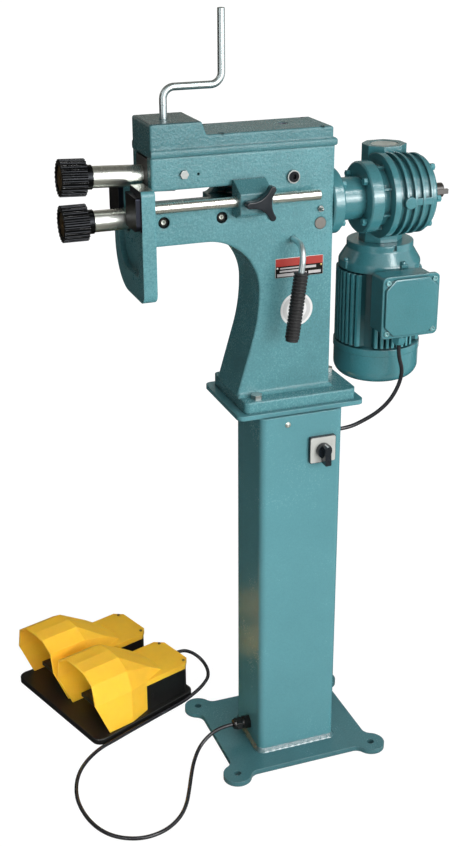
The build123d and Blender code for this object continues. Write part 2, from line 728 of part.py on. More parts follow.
def top_cover():
    block_right = HOUSING_LEFT + BLOCK_LENGTH
    profile = outline([
        (HOUSING_LEFT, HOUSING_TOP, 0),
        (COVER_RIGHT, HOUSING_TOP, 0),
        (COVER_RIGHT, COVER_TOP, COVER_EDGE_R),
        (block_right + BLOCK_SLOPE, COVER_TOP, COVER_EDGE_R),
        (block_right, BLOCK_TOP, COVER_EDGE_R),
        (HOUSING_LEFT, BLOCK_TOP, COVER_EDGE_R),
    ])
    cover = along_y(profile, FRONT, BACK)
    rims = [e for e in cover.edges() if abs(abs(e.center().Y - HEAD_Y) - BODY_WIDTH / 2) < 1e-6]
    cover = fillet([e for e in rims if e.center().Z > COVER_TOP - COVER_EDGE_R], EDGE_R)
    bead = block(HOUSING_LEFT, BODY_RIGHT + BEAD_PROUD, FRONT - BEAD_PROUD, BACK + BEAD_PROUD,
                 HOUSING_TOP, HOUSING_TOP + BEAD_HEIGHT)
    ridges = [e for e in bead.edges().filter_by(Axis.X)]
    ridges += [e for e in bead.edges().filter_by(Axis.Y) if e.center().X > 0]
    cover += fillet(ridges, BEAD_R)
    cover -= block(HOUSING_LEFT + COVER_WALL, COVER_RIGHT - COVER_WALL, FRONT + COVER_WALL, BACK - COVER_WALL,
                   HOUSING_TOP, CEILING)
    cover -= rod_z(NUT_R + FIT, CEILING, CEILING + NUT_LENGTH, CRANK_X, HEAD_Y)
    cover -= rod_z(CRANK_R + SIDE_GAP, CEILING, BLOCK_TOP, CRANK_X, HEAD_Y)
    cover -= rod_z(OIL_PORT_R, CEILING, COVER_TOP, *OIL_PORT)
    for x, y in cover_screw_points():
        cover -= rod_z(COVER_SCREW_R + FIT, HOUSING_TOP, COVER_TOP, x, y)
        cover -= rod_z(COVER_SCREW_HEAD_R + FIT, COVER_TOP - COVER_SCREW_R, COVER_TOP + 1, x, y)
    return cover


def cover_screws():
    screws = []
    for x, y in cover_screw_points():
        head = rod_z(COVER_SCREW_HEAD_R, COVER_TOP - COVER_SCREW_R, COVER_TOP - EDGE_R / 2, x, y)
        shank = rod_z(COVER_SCREW_R, HOUSING_TOP - COVER_WALL, COVER_TOP - COVER_SCREW_R, x, y)
        socket = RegularPolygon(COVER_SCREW_R * 0.8, 6)
        screw = head + shank
        screws.append(screw - along_z(Pos(x, y) * socket, COVER_TOP - COVER_SCREW_R, COVER_TOP))
    return screws


def crank_nut():
    nut = rod_z(NUT_R, CEILING, CEILING + NUT_LENGTH, CRANK_X, HEAD_Y)
    return nut - rod_z(CRANK_R + RUN, CEILING, CEILING + NUT_LENGTH, CRANK_X, HEAD_Y)


def pad_low():
    """Lowest point of the thrust pad, just above the rocker's beam at rest."""
    tilt = math.radians(REST_TILT)
    arm = PIVOT_X - CRANK_X
    return PIVOT_Z + arm * math.tan(tilt) + BEAM_TOP / math.cos(tilt) + TOUCH_GAP


def thrust_pad():
    low = pad_low()
    pad = rod_z(PAD_R, low + PAD_NOSE_LENGTH, PAD_TOP, CRANK_X, HEAD_Y)
    pad += rod_z(PAD_NOSE_R, low, low + PAD_NOSE_LENGTH, CRANK_X, HEAD_Y)
    return pad - rod_z(CRANK_R + RUN, low + PAD_NOSE_LENGTH + PAD_FLOOR, PAD_TOP, CRANK_X, HEAD_Y)


def crank_screw():
    run_z = BLOCK_TOP + CRANK_RISE
    grip_x = CRANK_X + CRANK_THROW
    start = pad_low() + PAD_NOSE_LENGTH + PAD_FLOOR + TOUCH_GAP
    crank = bent_rod([(CRANK_X, HEAD_Y, start), (CRANK_X, HEAD_Y, run_z), (grip_x, HEAD_Y, run_z),
                      (grip_x, HEAD_Y, run_z + CRANK_LEG)], CRANK_R, CRANK_BEND_R)
    top = crank.edges().sort_by(Axis.Z)[-1]
    return chamfer(top, CRANK_R / 6)


def rocker_outline():
    """Side view of the rocker: front bearing block, beam over the shaft, rear trunnion block."""
    front_right = ROCKER_LEFT + ROCKER_FRONT_LENGTH
    rear_left = PIVOT_X - REAR_BLOCK_LENGTH / 2
    rear_right = PIVOT_X + REAR_BLOCK_LENGTH / 2
    return outline([
        (ROCKER_LEFT, PIVOT_Z - ROCKER_LOW, 0),
        (ROCKER_LEFT, PIVOT_Z + ROCKER_FRONT_TOP, 0),
        (ROCKER_STEP_X, PIVOT_Z + ROCKER_FRONT_TOP, 0),
        (ROCKER_STEP_X, PIVOT_Z + BEAM_TOP, 0),
        (rear_right, PIVOT_Z + BEAM_TOP, 0),
        (rear_right, PIVOT_Z - ROCKER_LOW, 0),
        (rear_left, PIVOT_Z - ROCKER_LOW, 0),
        (rear_left, PIVOT_Z + BEAM_LOW, 0),
        (front_right, PIVOT_Z + BEAM_LOW, 0),
        (front_right, PIVOT_Z - ROCKER_LOW, 0),
    ])


def rocker_arm():
    channel = BODY_WIDTH - 2 * HOUSING_WALL - 2 * SIDE_GAP
    width = min(channel, BEAM_WIDTH + 2)
    arm = along_y(rocker_outline(), HEAD_Y - width / 2, HEAD_Y + width / 2)
    rear_left = PIVOT_X - REAR_BLOCK_LENGTH / 2
    rear_right = PIVOT_X + REAR_BLOCK_LENGTH / 2
    cheek = BODY_WIDTH / 2 - CHAMBER_WALL - 2 * SIDE_GAP
    arm += block(rear_left, rear_right, HEAD_Y - cheek, HEAD_Y + cheek,
                 PIVOT_Z - ROCKER_LOW, PIVOT_Z + ROCKER_LOW)
    arm -= rod_x(BUSH_R + FIT, ROCKER_LEFT - 1, rear_right + 1, z=PIVOT_Z)
    for side in (-1, 1):
        ends = sorted((HEAD_Y + side * (cheek + 1), HEAD_Y + side * (cheek - TRUNNION_DEPTH)))
        arm -= rod_y(TRUNNION_R + RUN, *ends, PIVOT_X, PIVOT_Z)
    return tilted(arm)


def sleeve_x(left, right, z):
    """Bronze bush along a shaft."""
    return rod_x(BUSH_R, left, right, z=z) - rod_x(JOURNAL_R + RUN, left, right, z=z)


def rocker_bushes():
    front = sleeve_x(ROCKER_LEFT, ROCKER_LEFT + ROCKER_FRONT_LENGTH, PIVOT_Z)
    rear = sleeve_x(PIVOT_X - REAR_BLOCK_LENGTH / 2, PIVOT_X + REAR_BLOCK_LENGTH / 2, PIVOT_Z)
    return Compound(children=[tilted(front), tilted(rear)])


def pivot_pins():
    """Two screwed pins whose plain noses carry the rocker."""
    cheek = BODY_WIDTH / 2 - CHAMBER_WALL - 2 * SIDE_GAP
    pins = []
    for side in (-1, 1):
        outer = HEAD_Y + side * (BODY_WIDTH / 2 + PIVOT_NUT_THICK)
        inner = HEAD_Y + side * (BODY_WIDTH / 2 - CHAMBER_WALL)
        nose = HEAD_Y + side * (cheek - TRUNNION_DEPTH + SIDE_GAP)
        pin = rod_y(PIVOT_THREAD_R, *sorted((outer, inner)), PIVOT_X, PIVOT_Z)
        pin += rod_y(TRUNNION_R, *sorted((inner, nose)), PIVOT_X, PIVOT_Z)
        socket = outer - side * PIVOT_NUT_THICK
        pins.append(pin - hex_y(PIVOT_SOCKET_R, *sorted((outer, socket)), PIVOT_X, PIVOT_Z))
    return pins


def pivot_nuts():
    nuts = []
    for side in (-1, 1):
        ends = sorted((HEAD_Y + side * BODY_WIDTH / 2, HEAD_Y + side * (BODY_WIDTH / 2 + PIVOT_NUT_THICK)))
        nut = rod_y(PIVOT_NUT_R, *ends, PIVOT_X, PIVOT_Z)
        nuts.append(nut - rod_y(PIVOT_THREAD_R + FIT, *ends, PIVOT_X, PIVOT_Z))
    return nuts


def return_springs():
    """Two coil springs that lift the rocker, on the channel's floor beside the upper shaft."""
    tilt = math.radians(REST_TILT)
    beam_low = PIVOT_Z + (PIVOT_X - SPRING_X - SPRING_R) * math.tan(tilt) + BEAM_LOW / math.cos(tilt)
    low = ARM_TOP + SPRING_WIRE_R
    height = beam_low - ARM_TOP - 2 * SPRING_WIRE_R - SIDE_GAP
    coils = []
    for side in (-1, 1):
        coil = Helix(height / SPRING_TURNS, height, SPRING_R)
        path = Pos(SPRING_X, HEAD_Y + side * SPRING_SIDE, low) * coil
        coils.append(sweep(Plane(origin=path @ 0, z_dir=path % 0) * Circle(SPRING_WIRE_R), path=path))
    return Compound(children=coils)


def roll(z):
    """Fluted roll with its hub, bored for the shaft and recessed for the end cap."""
    wheel = rod_x(ROLL_R, ROLL_LEFT, ROLL_RIGHT, z=z) + rod_x(HUB_R, ROLL_RIGHT, HUB_RIGHT, z=z)
    wheel -= rod_x(JOURNAL_R + FIT, ROLL_LEFT, HUB_RIGHT, z=z)
    wheel -= rod_x(CAP_R + FIT, ROLL_LEFT, SEAT_LEFT, z=z)
    spots = around(ROLL_FLUTES, ROLL_R)
    flutes = [rod_x(FLUTE_R, ROLL_LEFT, ROLL_RIGHT, HEAD_Y + y, z + h) for y, h in spots]
    return wheel - flutes


def roll_cap(z):
    cap = rod_x(CAP_R, CAP_LEFT, SEAT_LEFT, z=z)
    socket = along_x(Pos(HEAD_Y, z) * RegularPolygon(CAP_SOCKET_R, 6), CAP_LEFT, SEAT_LEFT - CAP_THICK / 4)
    return cap - socket


def gear_outline():
    """Stub-toothed spur gear with straight flanks."""
    pitch = 2 * math.pi / GEAR_TEETH
    flank = math.tan(math.radians(20))
    points = []
    for i in range(GEAR_TEETH):
        for radius, side in ((PITCH_R - GEAR_DEDENDUM, -1), (PITCH_R + GEAR_ADDENDUM, -1),
                             (PITCH_R + GEAR_ADDENDUM, 1), (PITCH_R - GEAR_DEDENDUM, 1)):
            half = GEAR_TOOTH / 2 - (radius - PITCH_R) * flank
            angle = math.pi / 2 + i * pitch + side * half / radius
            points.append((radius * math.cos(angle), radius * math.sin(angle), 0))
    return outline(points)


def gear(z, turn):
    face = Pos(HEAD_Y, z) * Rot(0, 0, turn) * gear_outline()
    wheel = along_x(face, GEAR_LEFT, GEAR_RIGHT)
    return wheel - rod_x(JOURNAL_R + FIT, GEAR_LEFT, GEAR_RIGHT, z=z)


def upper_shaft():
    tail = PIVOT_X + REAR_BLOCK_LENGTH / 2 + SIDE_GAP
    shoulder = ROCKER_LEFT - SIDE_GAP
    shaft = rod_x(JOURNAL_R, SEAT_LEFT, HUB_RIGHT, z=PIVOT_Z)
    shaft += rod_x(SHAFT_R, HUB_RIGHT, shoulder, z=PIVOT_Z)
    shaft += rod_x(JOURNAL_R, shoulder, tail, z=PIVOT_Z)
    return tilted(shaft)


def lower_shaft():
    shaft = rod_x(JOURNAL_R, SEAT_LEFT, HUB_RIGHT)
    shaft += rod_x(SHAFT_R, HUB_RIGHT, SHOULDER_X)
    shaft += rod_x(JOURNAL_R, SHOULDER_X, TAIL_END)
    shaft += rod_x(STOP_R, GEAR_RIGHT, RING_LEFT - TOUCH_GAP)
    shaft += rod_x(STOP_R, RING_RIGHT + TOUCH_GAP, RING_RIGHT + TOUCH_GAP + STOP_LENGTH)
    key_front = HEAD_Y - JOURNAL_R - KEY_PROUD
    half = KEY_WIDTH / 2
    key_back = HEAD_Y - JOURNAL_R + KEY_PROUD
    shaft -= block(KEY_LEFT, TAIL_END, key_front, key_back, AXIS_Z - half, AXIS_Z + half)
    return shaft


def drive_key():
    half = KEY_WIDTH / 2
    front = HEAD_Y - JOURNAL_R - KEY_PROUD
    back = HEAD_Y - JOURNAL_R + KEY_PROUD
    return block(KEY_LEFT, TAIL_END + KEY_OVERHANG, front, back, AXIS_Z - half, AXIS_Z + half)


def lower_bushes():
    bushes = [sleeve_x(x - BUSH_LENGTH / 2, x + BUSH_LENGTH / 2, AXIS_Z) for x in SET_SCREW_X]
    bushes.append(sleeve_x(CHAMBER_RIGHT, BODY_RIGHT, AXIS_Z))
    return Compound(children=bushes)


def bush_set_screws():
    screws = []
    for x in SET_SCREW_X:
        outer = FRONT + SET_SCREW_SINK
        screw = rod_y(SET_SCREW_R, outer, HEAD_Y - BUSH_R, x, AXIS_Z)
        screws.append(screw - hex_y(SET_SOCKET_R, outer, outer + SET_SCREW_R, x, AXIS_Z))
    return screws


def shift_ring():
    ring = rod_x(RING_R, RING_LEFT, RING_RIGHT) - rod_x(JOURNAL_R + RUN, RING_LEFT, RING_RIGHT)
    half = RING_SLOT / 2
    return ring - block(LEVER_X - half, LEVER_X + half, HEAD_Y - RING_R, HEAD_Y + RING_R,
                        AXIS_Z - RING_R, AXIS_Z - RING_R + RING_SLOT_DEPTH)


def shift_fork():
    """Arm on the lever's inner end, whose finger sits in the ring's slot."""
    half = FORK_LENGTH / 2
    tip = FINGER_LENGTH / 2
    fork = rod_y(FORK_HUB_R, HEAD_Y - half, HEAD_Y + half, LEVER_X, LEVER_Z)
    fork += block(LEVER_X - FORK_ARM / 2, LEVER_X + FORK_ARM / 2, HEAD_Y - tip, HEAD_Y + tip,
                  LEVER_Z, LEVER_Z + FORK_RADIUS)
    fork += rod_y(FINGER_R, HEAD_Y - tip, HEAD_Y + tip, LEVER_X, LEVER_Z + FORK_RADIUS)
    return fork - rod_y(LEVER_R + FIT, HEAD_Y - half, HEAD_Y + half, LEVER_X, LEVER_Z)


def lever_points():
    lean = math.radians(LEVER_LEAN)
    inner = (LEVER_X, BACK - CHAMBER_WALL / 2 - SIDE_GAP, LEVER_Z)
    corner = (LEVER_X, -LEVER_REACH, LEVER_Z)
    end = (LEVER_X - LEVER_LENGTH * math.sin(lean), -LEVER_REACH, LEVER_Z - LEVER_LENGTH * math.cos(lean))
    return [inner, corner, end]


def lever_rod():
    return bent_rod(lever_points(), LEVER_R, LEVER_BEND_R)


def lever_grip():
    """Ribbed sleeve on the lever's lower end."""
    step = GRIP_LENGTH / GRIP_RIBS
    points = [(LEVER_R + FIT, 0), (LEVER_R + FIT, GRIP_LENGTH)]
    for i in reversed(range(GRIP_RIBS)):
        points += [(GRIP_ROOT_R, (i + 1) * step), (GRIP_R, (i + 0.8) * step),
                   (GRIP_R, (i + 0.4) * step), (GRIP_ROOT_R, (i + 0.2) * step)]
    points.append((GRIP_ROOT_R, 0))
    profile = make_face(Polyline(*[(r, 0, h) for r, h in points], close=True))
    grip = revolve(profile, Axis.Z)
    grip += rod_z(GRIP_ROOT_R, -GRIP_CAP, 0, 0, 0)
    lean = Rot(0, LEVER_LEAN, 0)
    return Pos(*lever_points()[-1]) * lean * grip


def guide_screw():
    x = GUIDE_SCREW[0]
    z = AXIS_Z + GUIDE_SCREW[1]
    head = hex_y(1.8 * GUIDE_SCREW_R, FRONT - GUIDE_SCREW_R, FRONT, x, z)
    return head + rod_y(GUIDE_SCREW_R, FRONT, FRONT + HOUSING_WALL, x, z)


def grease_nipple():
    nipple = rod_y(NIPPLE_R, FRONT, HEAD_Y - BUSH_R, NIPPLE_X, AXIS_Z)
    nipple += hex_y(1.5 * NIPPLE_R, FRONT - NIPPLE_R, FRONT, NIPPLE_X, AXIS_Z)
    nipple += rod_y(0.7 * NIPPLE_R, FRONT - 2.2 * NIPPLE_R, FRONT - NIPPLE_R, NIPPLE_X, AXIS_Z)
    ball = Pos(NIPPLE_X, FRONT - 2.4 * NIPPLE_R, AXIS_Z) * Sphere(0.85 * NIPPLE_R)
    return nipple + ball


def side_plug():
    plug = rod_y(PLUG_R, FRONT - PLUG_PROUD, FRONT + PLUG_DEPTH, PLUG[0], AXIS_Z + PLUG[1])
    return chamfer(plug.edges().sort_by(Axis.Y)[0], PLUG_PROUD / 2)


def gauge_outline():
    """D-shaped view of the gauge along X, in (y, z)."""
    front = HEAD_Y - GAUGE_HALF
    back = HEAD_Y + GAUGE_HALF
    low = AXIS_Z - GAUGE_BOTTOM
    top = AXIS_Z + GAUGE_TOP
    return outline([
        (front, top, GAUGE_TOP_R),
        (front, low, GAUGE_FRONT_R),
        (back, low, GAUGE_BACK_R),
        (back, top, GAUGE_TOP_R),
    ])


def gauge_casting():
    plate = along_x(gauge_outline(), GAUGE_LEFT, GAUGE_RIGHT)
    rims = [e for e in plate.edges() if abs(e.center().X - GAUGE_RIGHT) < 1e-6]
    plate = fillet(rims, EDGE_R)
    half = GAUGE_SLOT / 2
    plate -= block(GAUGE_LEFT, GAUGE_RIGHT, HEAD_Y - half, HEAD_Y + half, AXIS_Z, AXIS_Z + GAUGE_TOP)
    plate -= rod_x(half, GAUGE_LEFT, GAUGE_RIGHT)
    web_top = AXIS_Z - half - GAUGE_WEB_TOP / 4
    margin = GAUGE_WEB_MARGIN
    web = outline([
        (HEAD_Y - GAUGE_HALF + margin, web_top, margin / 3),
        (HEAD_Y - GAUGE_HALF + margin, AXIS_Z - GAUGE_BOTTOM + 1.5 * margin, margin / 2),
        (HEAD_Y + GAUGE_HALF - margin, AXIS_Z - GAUGE_BOTTOM + 1.5 * margin, GAUGE_BACK_R - margin),
        (HEAD_Y + GAUGE_HALF - margin, web_top, margin / 3),
    ])
    plate -= along_x(web, GAUGE_LEFT, GAUGE_LEFT + GAUGE_WEB_DEPTH)
    return plate - rod_x(ROD_R + FIT, GAUGE_RIGHT - ROD_GRIP, GAUGE_RIGHT, ROD_Y, ROD_Z)


def gauge_faces():
    """Two steel facing plates on the gauge, one each side of the lower shaft."""
    half = GAUGE_SLOT / 2
    outer = GAUGE_HALF - FACE_INSET
    low = AXIS_Z - FACE_LOW
    top = AXIS_Z + FACE_TOP
    plates = []
    for side in (-1, 1):
        face = outline([
            (HEAD_Y + side * half, top, 0),
            (HEAD_Y + side * half, low, 0),
            (HEAD_Y + side * outer, low, FACE_CORNER_R),
            (HEAD_Y + side * outer, top, FACE_CORNER_R / 4),
        ])
        plates.append(along_x(face, GAUGE_LEFT - FACE_THICK, GAUGE_LEFT))
    return Compound(children=plates)


def gauge_rod():
    rod = rod_x(ROD_R, GAUGE_RIGHT - ROD_GRIP, ROD_RIGHT, ROD_Y, ROD_Z)
    return fillet(rod.edges().sort_by(Axis.X)[-1], ROD_R / 4)


def gauge_bracket():
    face = outline([
        (FRONT, AXIS_Z + BRACKET_LOW, 0),
        (FRONT, AXIS_Z + BRACKET_TOP, 0),
        (FRONT - BRACKET_LAND, AXIS_Z + BRACKET_TOP, EDGE_R),
        (FRONT - BRACKET_DEPTH, AXIS_Z + BRACKET_FRONT_TOP, EDGE_R),
        (FRONT - BRACKET_DEPTH, AXIS_Z + BRACKET_FRONT_LOW, EDGE_R),
        (FRONT - BRACKET_DEPTH / 2, AXIS_Z + BRACKET_LOW, EDGE_R),
    ])
    bracket = along_x(face, BRACKET_LEFT, BRACKET_LEFT + BRACKET_LENGTH)
    bracket -= rod_x(ROD_R + RUN, BRACKET_LEFT - 1, BRACKET_LEFT + BRACKET_LENGTH + 1, ROD_Y, ROD_Z)
    return bracket - rod_y(KNOB_SCREW_R + RUN, FRONT - BRACKET_DEPTH - 1, ROD_Y, KNOB_X, ROD_Z)


def knob_outline():
    """Three-lobed star: round tips joined by hollow flanks, all tangent."""
    tip_at = KNOB_REACH - KNOB_TIP_R
    lean = KNOB_WAIST_R - KNOB_TIP_R
    hollow_at = (tip_at ** 2 - lean ** 2) / (tip_at - 2 * lean)
    edges = []
    for i in range(3):
        turn = math.pi / 3 + i * 2 * math.pi / 3
        tip = Vector(tip_at * math.cos(turn), tip_at * math.sin(turn))
        before = Vector(hollow_at * math.cos(turn - math.pi / 3), hollow_at * math.sin(turn - math.pi / 3))
        after = Vector(hollow_at * math.cos(turn + math.pi / 3), hollow_at * math.sin(turn + math.pi / 3))
        beyond = Vector(tip_at * math.cos(turn + 2 * math.pi / 3), tip_at * math.sin(turn + 2 * math.pi / 3))
        start = tip + (before - tip).normalized() * KNOB_TIP_R
        end = tip + (after - tip).normalized() * KNOB_TIP_R
        joined = beyond + (after - beyond).normalized() * KNOB_TIP_R
        edges.append(ThreePointArc(start, tip.normalized() * KNOB_REACH, end))
        edges.append(ThreePointArc(end, after.normalized() * KNOB_WAIST_R, joined))
    return make_face(edges)


def gauge_knob():
    back = FRONT - BRACKET_DEPTH - KNOB_STANDOFF
    star = along_y(Pos(KNOB_X, ROD_Z) * knob_outline(), back - KNOB_THICK, back)
    knob = fillet(star.faces().sort_by(Axis.Y)[0].edges(), KNOB_TIP_R / 3)
    knob += rod_y(KNOB_BOSS_R, back, FRONT - BRACKET_DEPTH - SIDE_GAP, KNOB_X, ROD_Z)
    return knob + rod_y(KNOB_SCREW_R, back, ROD_Y - ROD_R - TOUCH_GAP, KNOB_X, ROD_Z)


def gearbox_adapter():
    adapter = rod_x(ADAPTER_R, BODY_RIGHT, ADAPTER_RIGHT)
    adapter += rod_x(ADAPTER_TUBE_R, ADAPTER_RIGHT, BOX_FLANGE_LEFT)
    adapter = chamfer(adapter.edges().filter_by(GeomType.CIRCLE).group_by(SortBy.RADIUS)[-1], EDGE_R)
    adapter -= rod_x(ADAPTER_BORE_R, BODY_RIGHT, BOX_FLANGE_LEFT)
    for y, z in around(4, ADAPTER_PCD_R, math.pi / 4):
        adapter -= rod_x(BOX_BOLT_R + FIT, BODY_RIGHT, ADAPTER_RIGHT, HEAD_Y + y, AXIS_Z + z)
    return adapter


def tower_outline():
    half_x = TOWER_WIDTH / 2
    half_y = TOWER_DEPTH / 2
    cut = TOWER_CHAMFER
    return outline([
        (WORM_X - half_x, WORM_Y - half_y + cut, 0),
        (WORM_X - half_x + cut, WORM_Y - half_y, 0),
        (WORM_X + half_x - cut, WORM_Y - half_y, 0),
        (WORM_X + half_x, WORM_Y - half_y + cut, 0),
        (WORM_X + half_x, WORM_Y + half_y - cut, cut / 2),
        (WORM_X + half_x - cut, WORM_Y + half_y, cut / 2),
        (WORM_X - half_x + cut, WORM_Y + half_y, cut / 2),
        (WORM_X - half_x, WORM_Y + half_y - cut, cut / 2),
    ])


def gearbox_housing():
    box = rod_x(BOX_FLANGE_R, BOX_FLANGE_LEFT, NECK_LEFT) + rod_x(NECK_R, NECK_LEFT, BOX_LEFT)
    box = chamfer(box.edges().filter_by(GeomType.CIRCLE).group_by(SortBy.RADIUS)[-1], EDGE_R)
    box += rod_x(BOX_R, BOX_LEFT, BOX_RIGHT)
    box += rod_x(BOX_RIM_R, BOX_LEFT, BOX_LEFT + BOX_RIM)
    gap = (BOX_LENGTH - BOX_RIM) / BOX_RIBS
    for i in range(1, BOX_RIBS + 1):
        rib_right = BOX_LEFT + BOX_RIM + i * gap
        box += rod_x(BOX_RIM_R - i, rib_right - RIB_THICK, rib_right)
    for i in range(NECK_WEBS):
        web = Pos((NECK_R + BOX_FLANGE_R - WEB_THICK) / 2, 0) * Rectangle(BOX_FLANGE_R - NECK_R, WEB_THICK)
        web = Pos(HEAD_Y, AXIS_Z) * Rot(0, 0, (i + 0.5) * 360 / NECK_WEBS) * web
        box += along_x(web, NECK_LEFT, BOX_LEFT)
    box += block(BOX_LEFT + BOSS_X, BOX_RIGHT, HEAD_Y - BOX_RIM_R + TIE_SINK, HEAD_Y - BOX_R + BOX_WALL / 2,
                 AXIS_Z - TIE_HEIGHT / 2, AXIS_Z + TIE_HEIGHT / 2)
    box += along_z(tower_outline(), MOTOR_TOP, TOWER_TOP)
    box += rod_y(BOSS_R, HEAD_Y - BOX_RIM_R - 1, HEAD_Y - BOX_R + BOX_WALL, BOX_LEFT + BOSS_X, AXIS_Z)
    box -= rod_x(BOX_RIM_R + BOX_WALL, BOX_RIGHT, BOX_COVER_RIGHT)
    box -= rod_x(BOX_R - BOX_WALL, BOX_LEFT + BOX_WALL, BOX_RIGHT)
    box -= rod_x(WHEEL_HUB_R + SIDE_GAP, BOX_FLANGE_LEFT, BOX_RIGHT)
    box -= rod_x(BEARING_R + FIT, BOX_LEFT + BOX_WALL - BEARING_THICK, BOX_LEFT + BOX_WALL)
    box -= rod_z(WORM_BORE_R, MOTOR_TOP, TOWER_TOP - BOX_WALL, WORM_X, WORM_Y)
    box -= rod_z(TOWER_CAP_R, TOWER_TOP - TOWER_CAP, TOWER_TOP, WORM_X, WORM_Y)
    for y, z in around(4, BOX_PCD_R, math.pi / 4):
        box -= rod_x(BOX_BOLT_R + FIT, BOX_FLANGE_LEFT, NECK_LEFT - BOX_WALL, HEAD_Y + y, AXIS_Z + z)
    for y, z in around(COVER_BOLTS, COVER_PCD_R):
        box -= rod_x(BOX_BOLT_R + FIT, BOX_RIGHT - BOX_WALL, BOX_RIGHT, HEAD_Y + y, AXIS_Z + z)
    return box


def gearbox_cover():
    lid = rod_x(BOX_COVER_R, BOX_RIGHT, BOX_COVER_RIGHT)
    lid = chamfer(lid.edges().sort_by(Axis.X)[-1], BOX_WALL / 2)
    lid -= rod_x(WHEEL_HUB_R + SIDE_GAP, BOX_RIGHT, BOX_COVER_RIGHT)
    lid -= rod_x(BEARING_R + FIT, BOX_RIGHT, BOX_RIGHT + BEARING_THICK)
    for y, z in around(COVER_BOLTS, COVER_PCD_R):
        lid -= rod_x(BOX_BOLT_R + FIT, BOX_RIGHT, BOX_COVER_RIGHT, HEAD_Y + y, AXIS_Z + z)
    return lid


def bolt_x(seat, toward, length, y, z):
    """Hex bolt along X whose head stands off its seat away from its shank."""
    head = sorted((seat, seat - toward * BOX_BOLT_HEAD))
    shank = sorted((seat, seat + toward * length))
    bolt = along_x(Pos(y, z) * RegularPolygon(BOX_BOLT_HEAD_R, 6), *head)
    return bolt + rod_x(BOX_BOLT_R, *shank, y, z)


def gearbox_bolts():
    bolts = []
    for y, z in around(4, ADAPTER_PCD_R, math.pi / 4):
        bolts.append(bolt_x(ADAPTER_RIGHT, -1, ADAPTER_THICK + BOX_BOLT_HEAD, HEAD_Y + y, AXIS_Z + z))
    for y, z in around(4, BOX_PCD_R, math.pi / 4):
        bolts.append(bolt_x(BOX_FLANGE_LEFT, 1, BOX_FLANGE_THICK - BOX_WALL - 1, HEAD_Y + y, AXIS_Z + z))
    for y, z in around(COVER_BOLTS, COVER_PCD_R):
        bolts.append(bolt_x(BOX_COVER_RIGHT, -1, BOX_COVER_THICK + BOX_WALL - 1, HEAD_Y + y, AXIS_Z + z))
    return bolts


def gearbox_bearings():
    rings = []
    for left in (BOX_LEFT + BOX_WALL - BEARING_THICK, BOX_RIGHT):
        ring = rod_x(BEARING_R, left, left + BEARING_THICK)
        rings.append(ring - rod_x(WHEEL_HUB_R + RUN, left, left + BEARING_THICK))
    return Compound(children=rings)


def worm_wheel():
    left = BOX_LEFT + BOX_WALL - BEARING_THICK
    right = BOX_RIGHT + BEARING_THICK
    wheel = rod_x(WHEEL_HUB_R, left, right)
    wheel += rod_x(WHEEL_R, WORM_X - WHEEL_THICK / 2, WORM_X + WHEEL_THICK / 2)
    wheel -= rod_x(JOURNAL_R + RUN, left, right)
    half = KEY_WIDTH / 2 + TOUCH_GAP
    slot_front = HEAD_Y - JOURNAL_R - KEY_PROUD - TOUCH_GAP
    return wheel - block(left, right, slot_front, HEAD_Y, AXIS_Z - half, AXIS_Z + half)


def motor_bell():
    """Bell-shaped end shield that joins the motor to the gearbox."""
    profile = outline([
        (WORM_SHAFT_R + SIDE_GAP, MOTOR_TOP, 0),
        (BELL_TOP_R, MOTOR_TOP, 2),
        (BELL_TOP_R, MOTOR_TOP - BELL_RING, 4),
        (BELL_R, BELL_LOW + BELL_SKIRT, 10),
        (BELL_R, BELL_LOW, 0),
        (MOTOR_CORE_R - MOTOR_WALL, BELL_LOW, 0),
        (MOTOR_CORE_R - MOTOR_WALL, BELL_LOW + BELL_SKIRT / 2, 0),
        (BELL_TOP_R - 2 * BELL_WALL, MOTOR_TOP - BELL_RING - BELL_WALL / 2, 4),
        (BELL_TOP_R - 2 * BELL_WALL, MOTOR_TOP - BELL_RING, 0),
        (WORM_SHAFT_R + SIDE_GAP, MOTOR_TOP - BELL_RING, 0),
    ])
    upright = Plane((WORM_X, WORM_Y, 0), x_dir=(1, 0, 0), z_dir=(0, -1, 0))
    bell = revolve(upright * profile, Axis((WORM_X, WORM_Y, 0), (0, 0, 1)))
    box_top = TBOX_Z + TBOX_HEIGHT / 2 + SIDE_GAP
    lows = [BELL_LOW + LUG_LOW, BELL_LOW + LUG_LOW, BELL_LOW + LUG_LOW, max(box_top, BELL_LOW + LUG_LOW)]
    for i, low in enumerate(lows):
        lug = block(BELL_R - BELL_WALL, MOTOR_FIN_R, -LUG_WIDTH / 2, LUG_WIDTH / 2, low, BELL_LOW + LUG_HIGH)
        bell += Pos(WORM_X, WORM_Y) * Rot(0, 0, i * 90 + LUG_TURN) * lug
    front = WORM_Y - BELL_TOP_R
    return bell - block(WORM_X - BELL_SLOT / 2, WORM_X + BELL_SLOT / 2, front - 1, front + BELL_SLOT_DEPTH,
                        MOTOR_TOP - BELL_RING + BELL_SLOT / 2, MOTOR_TOP)


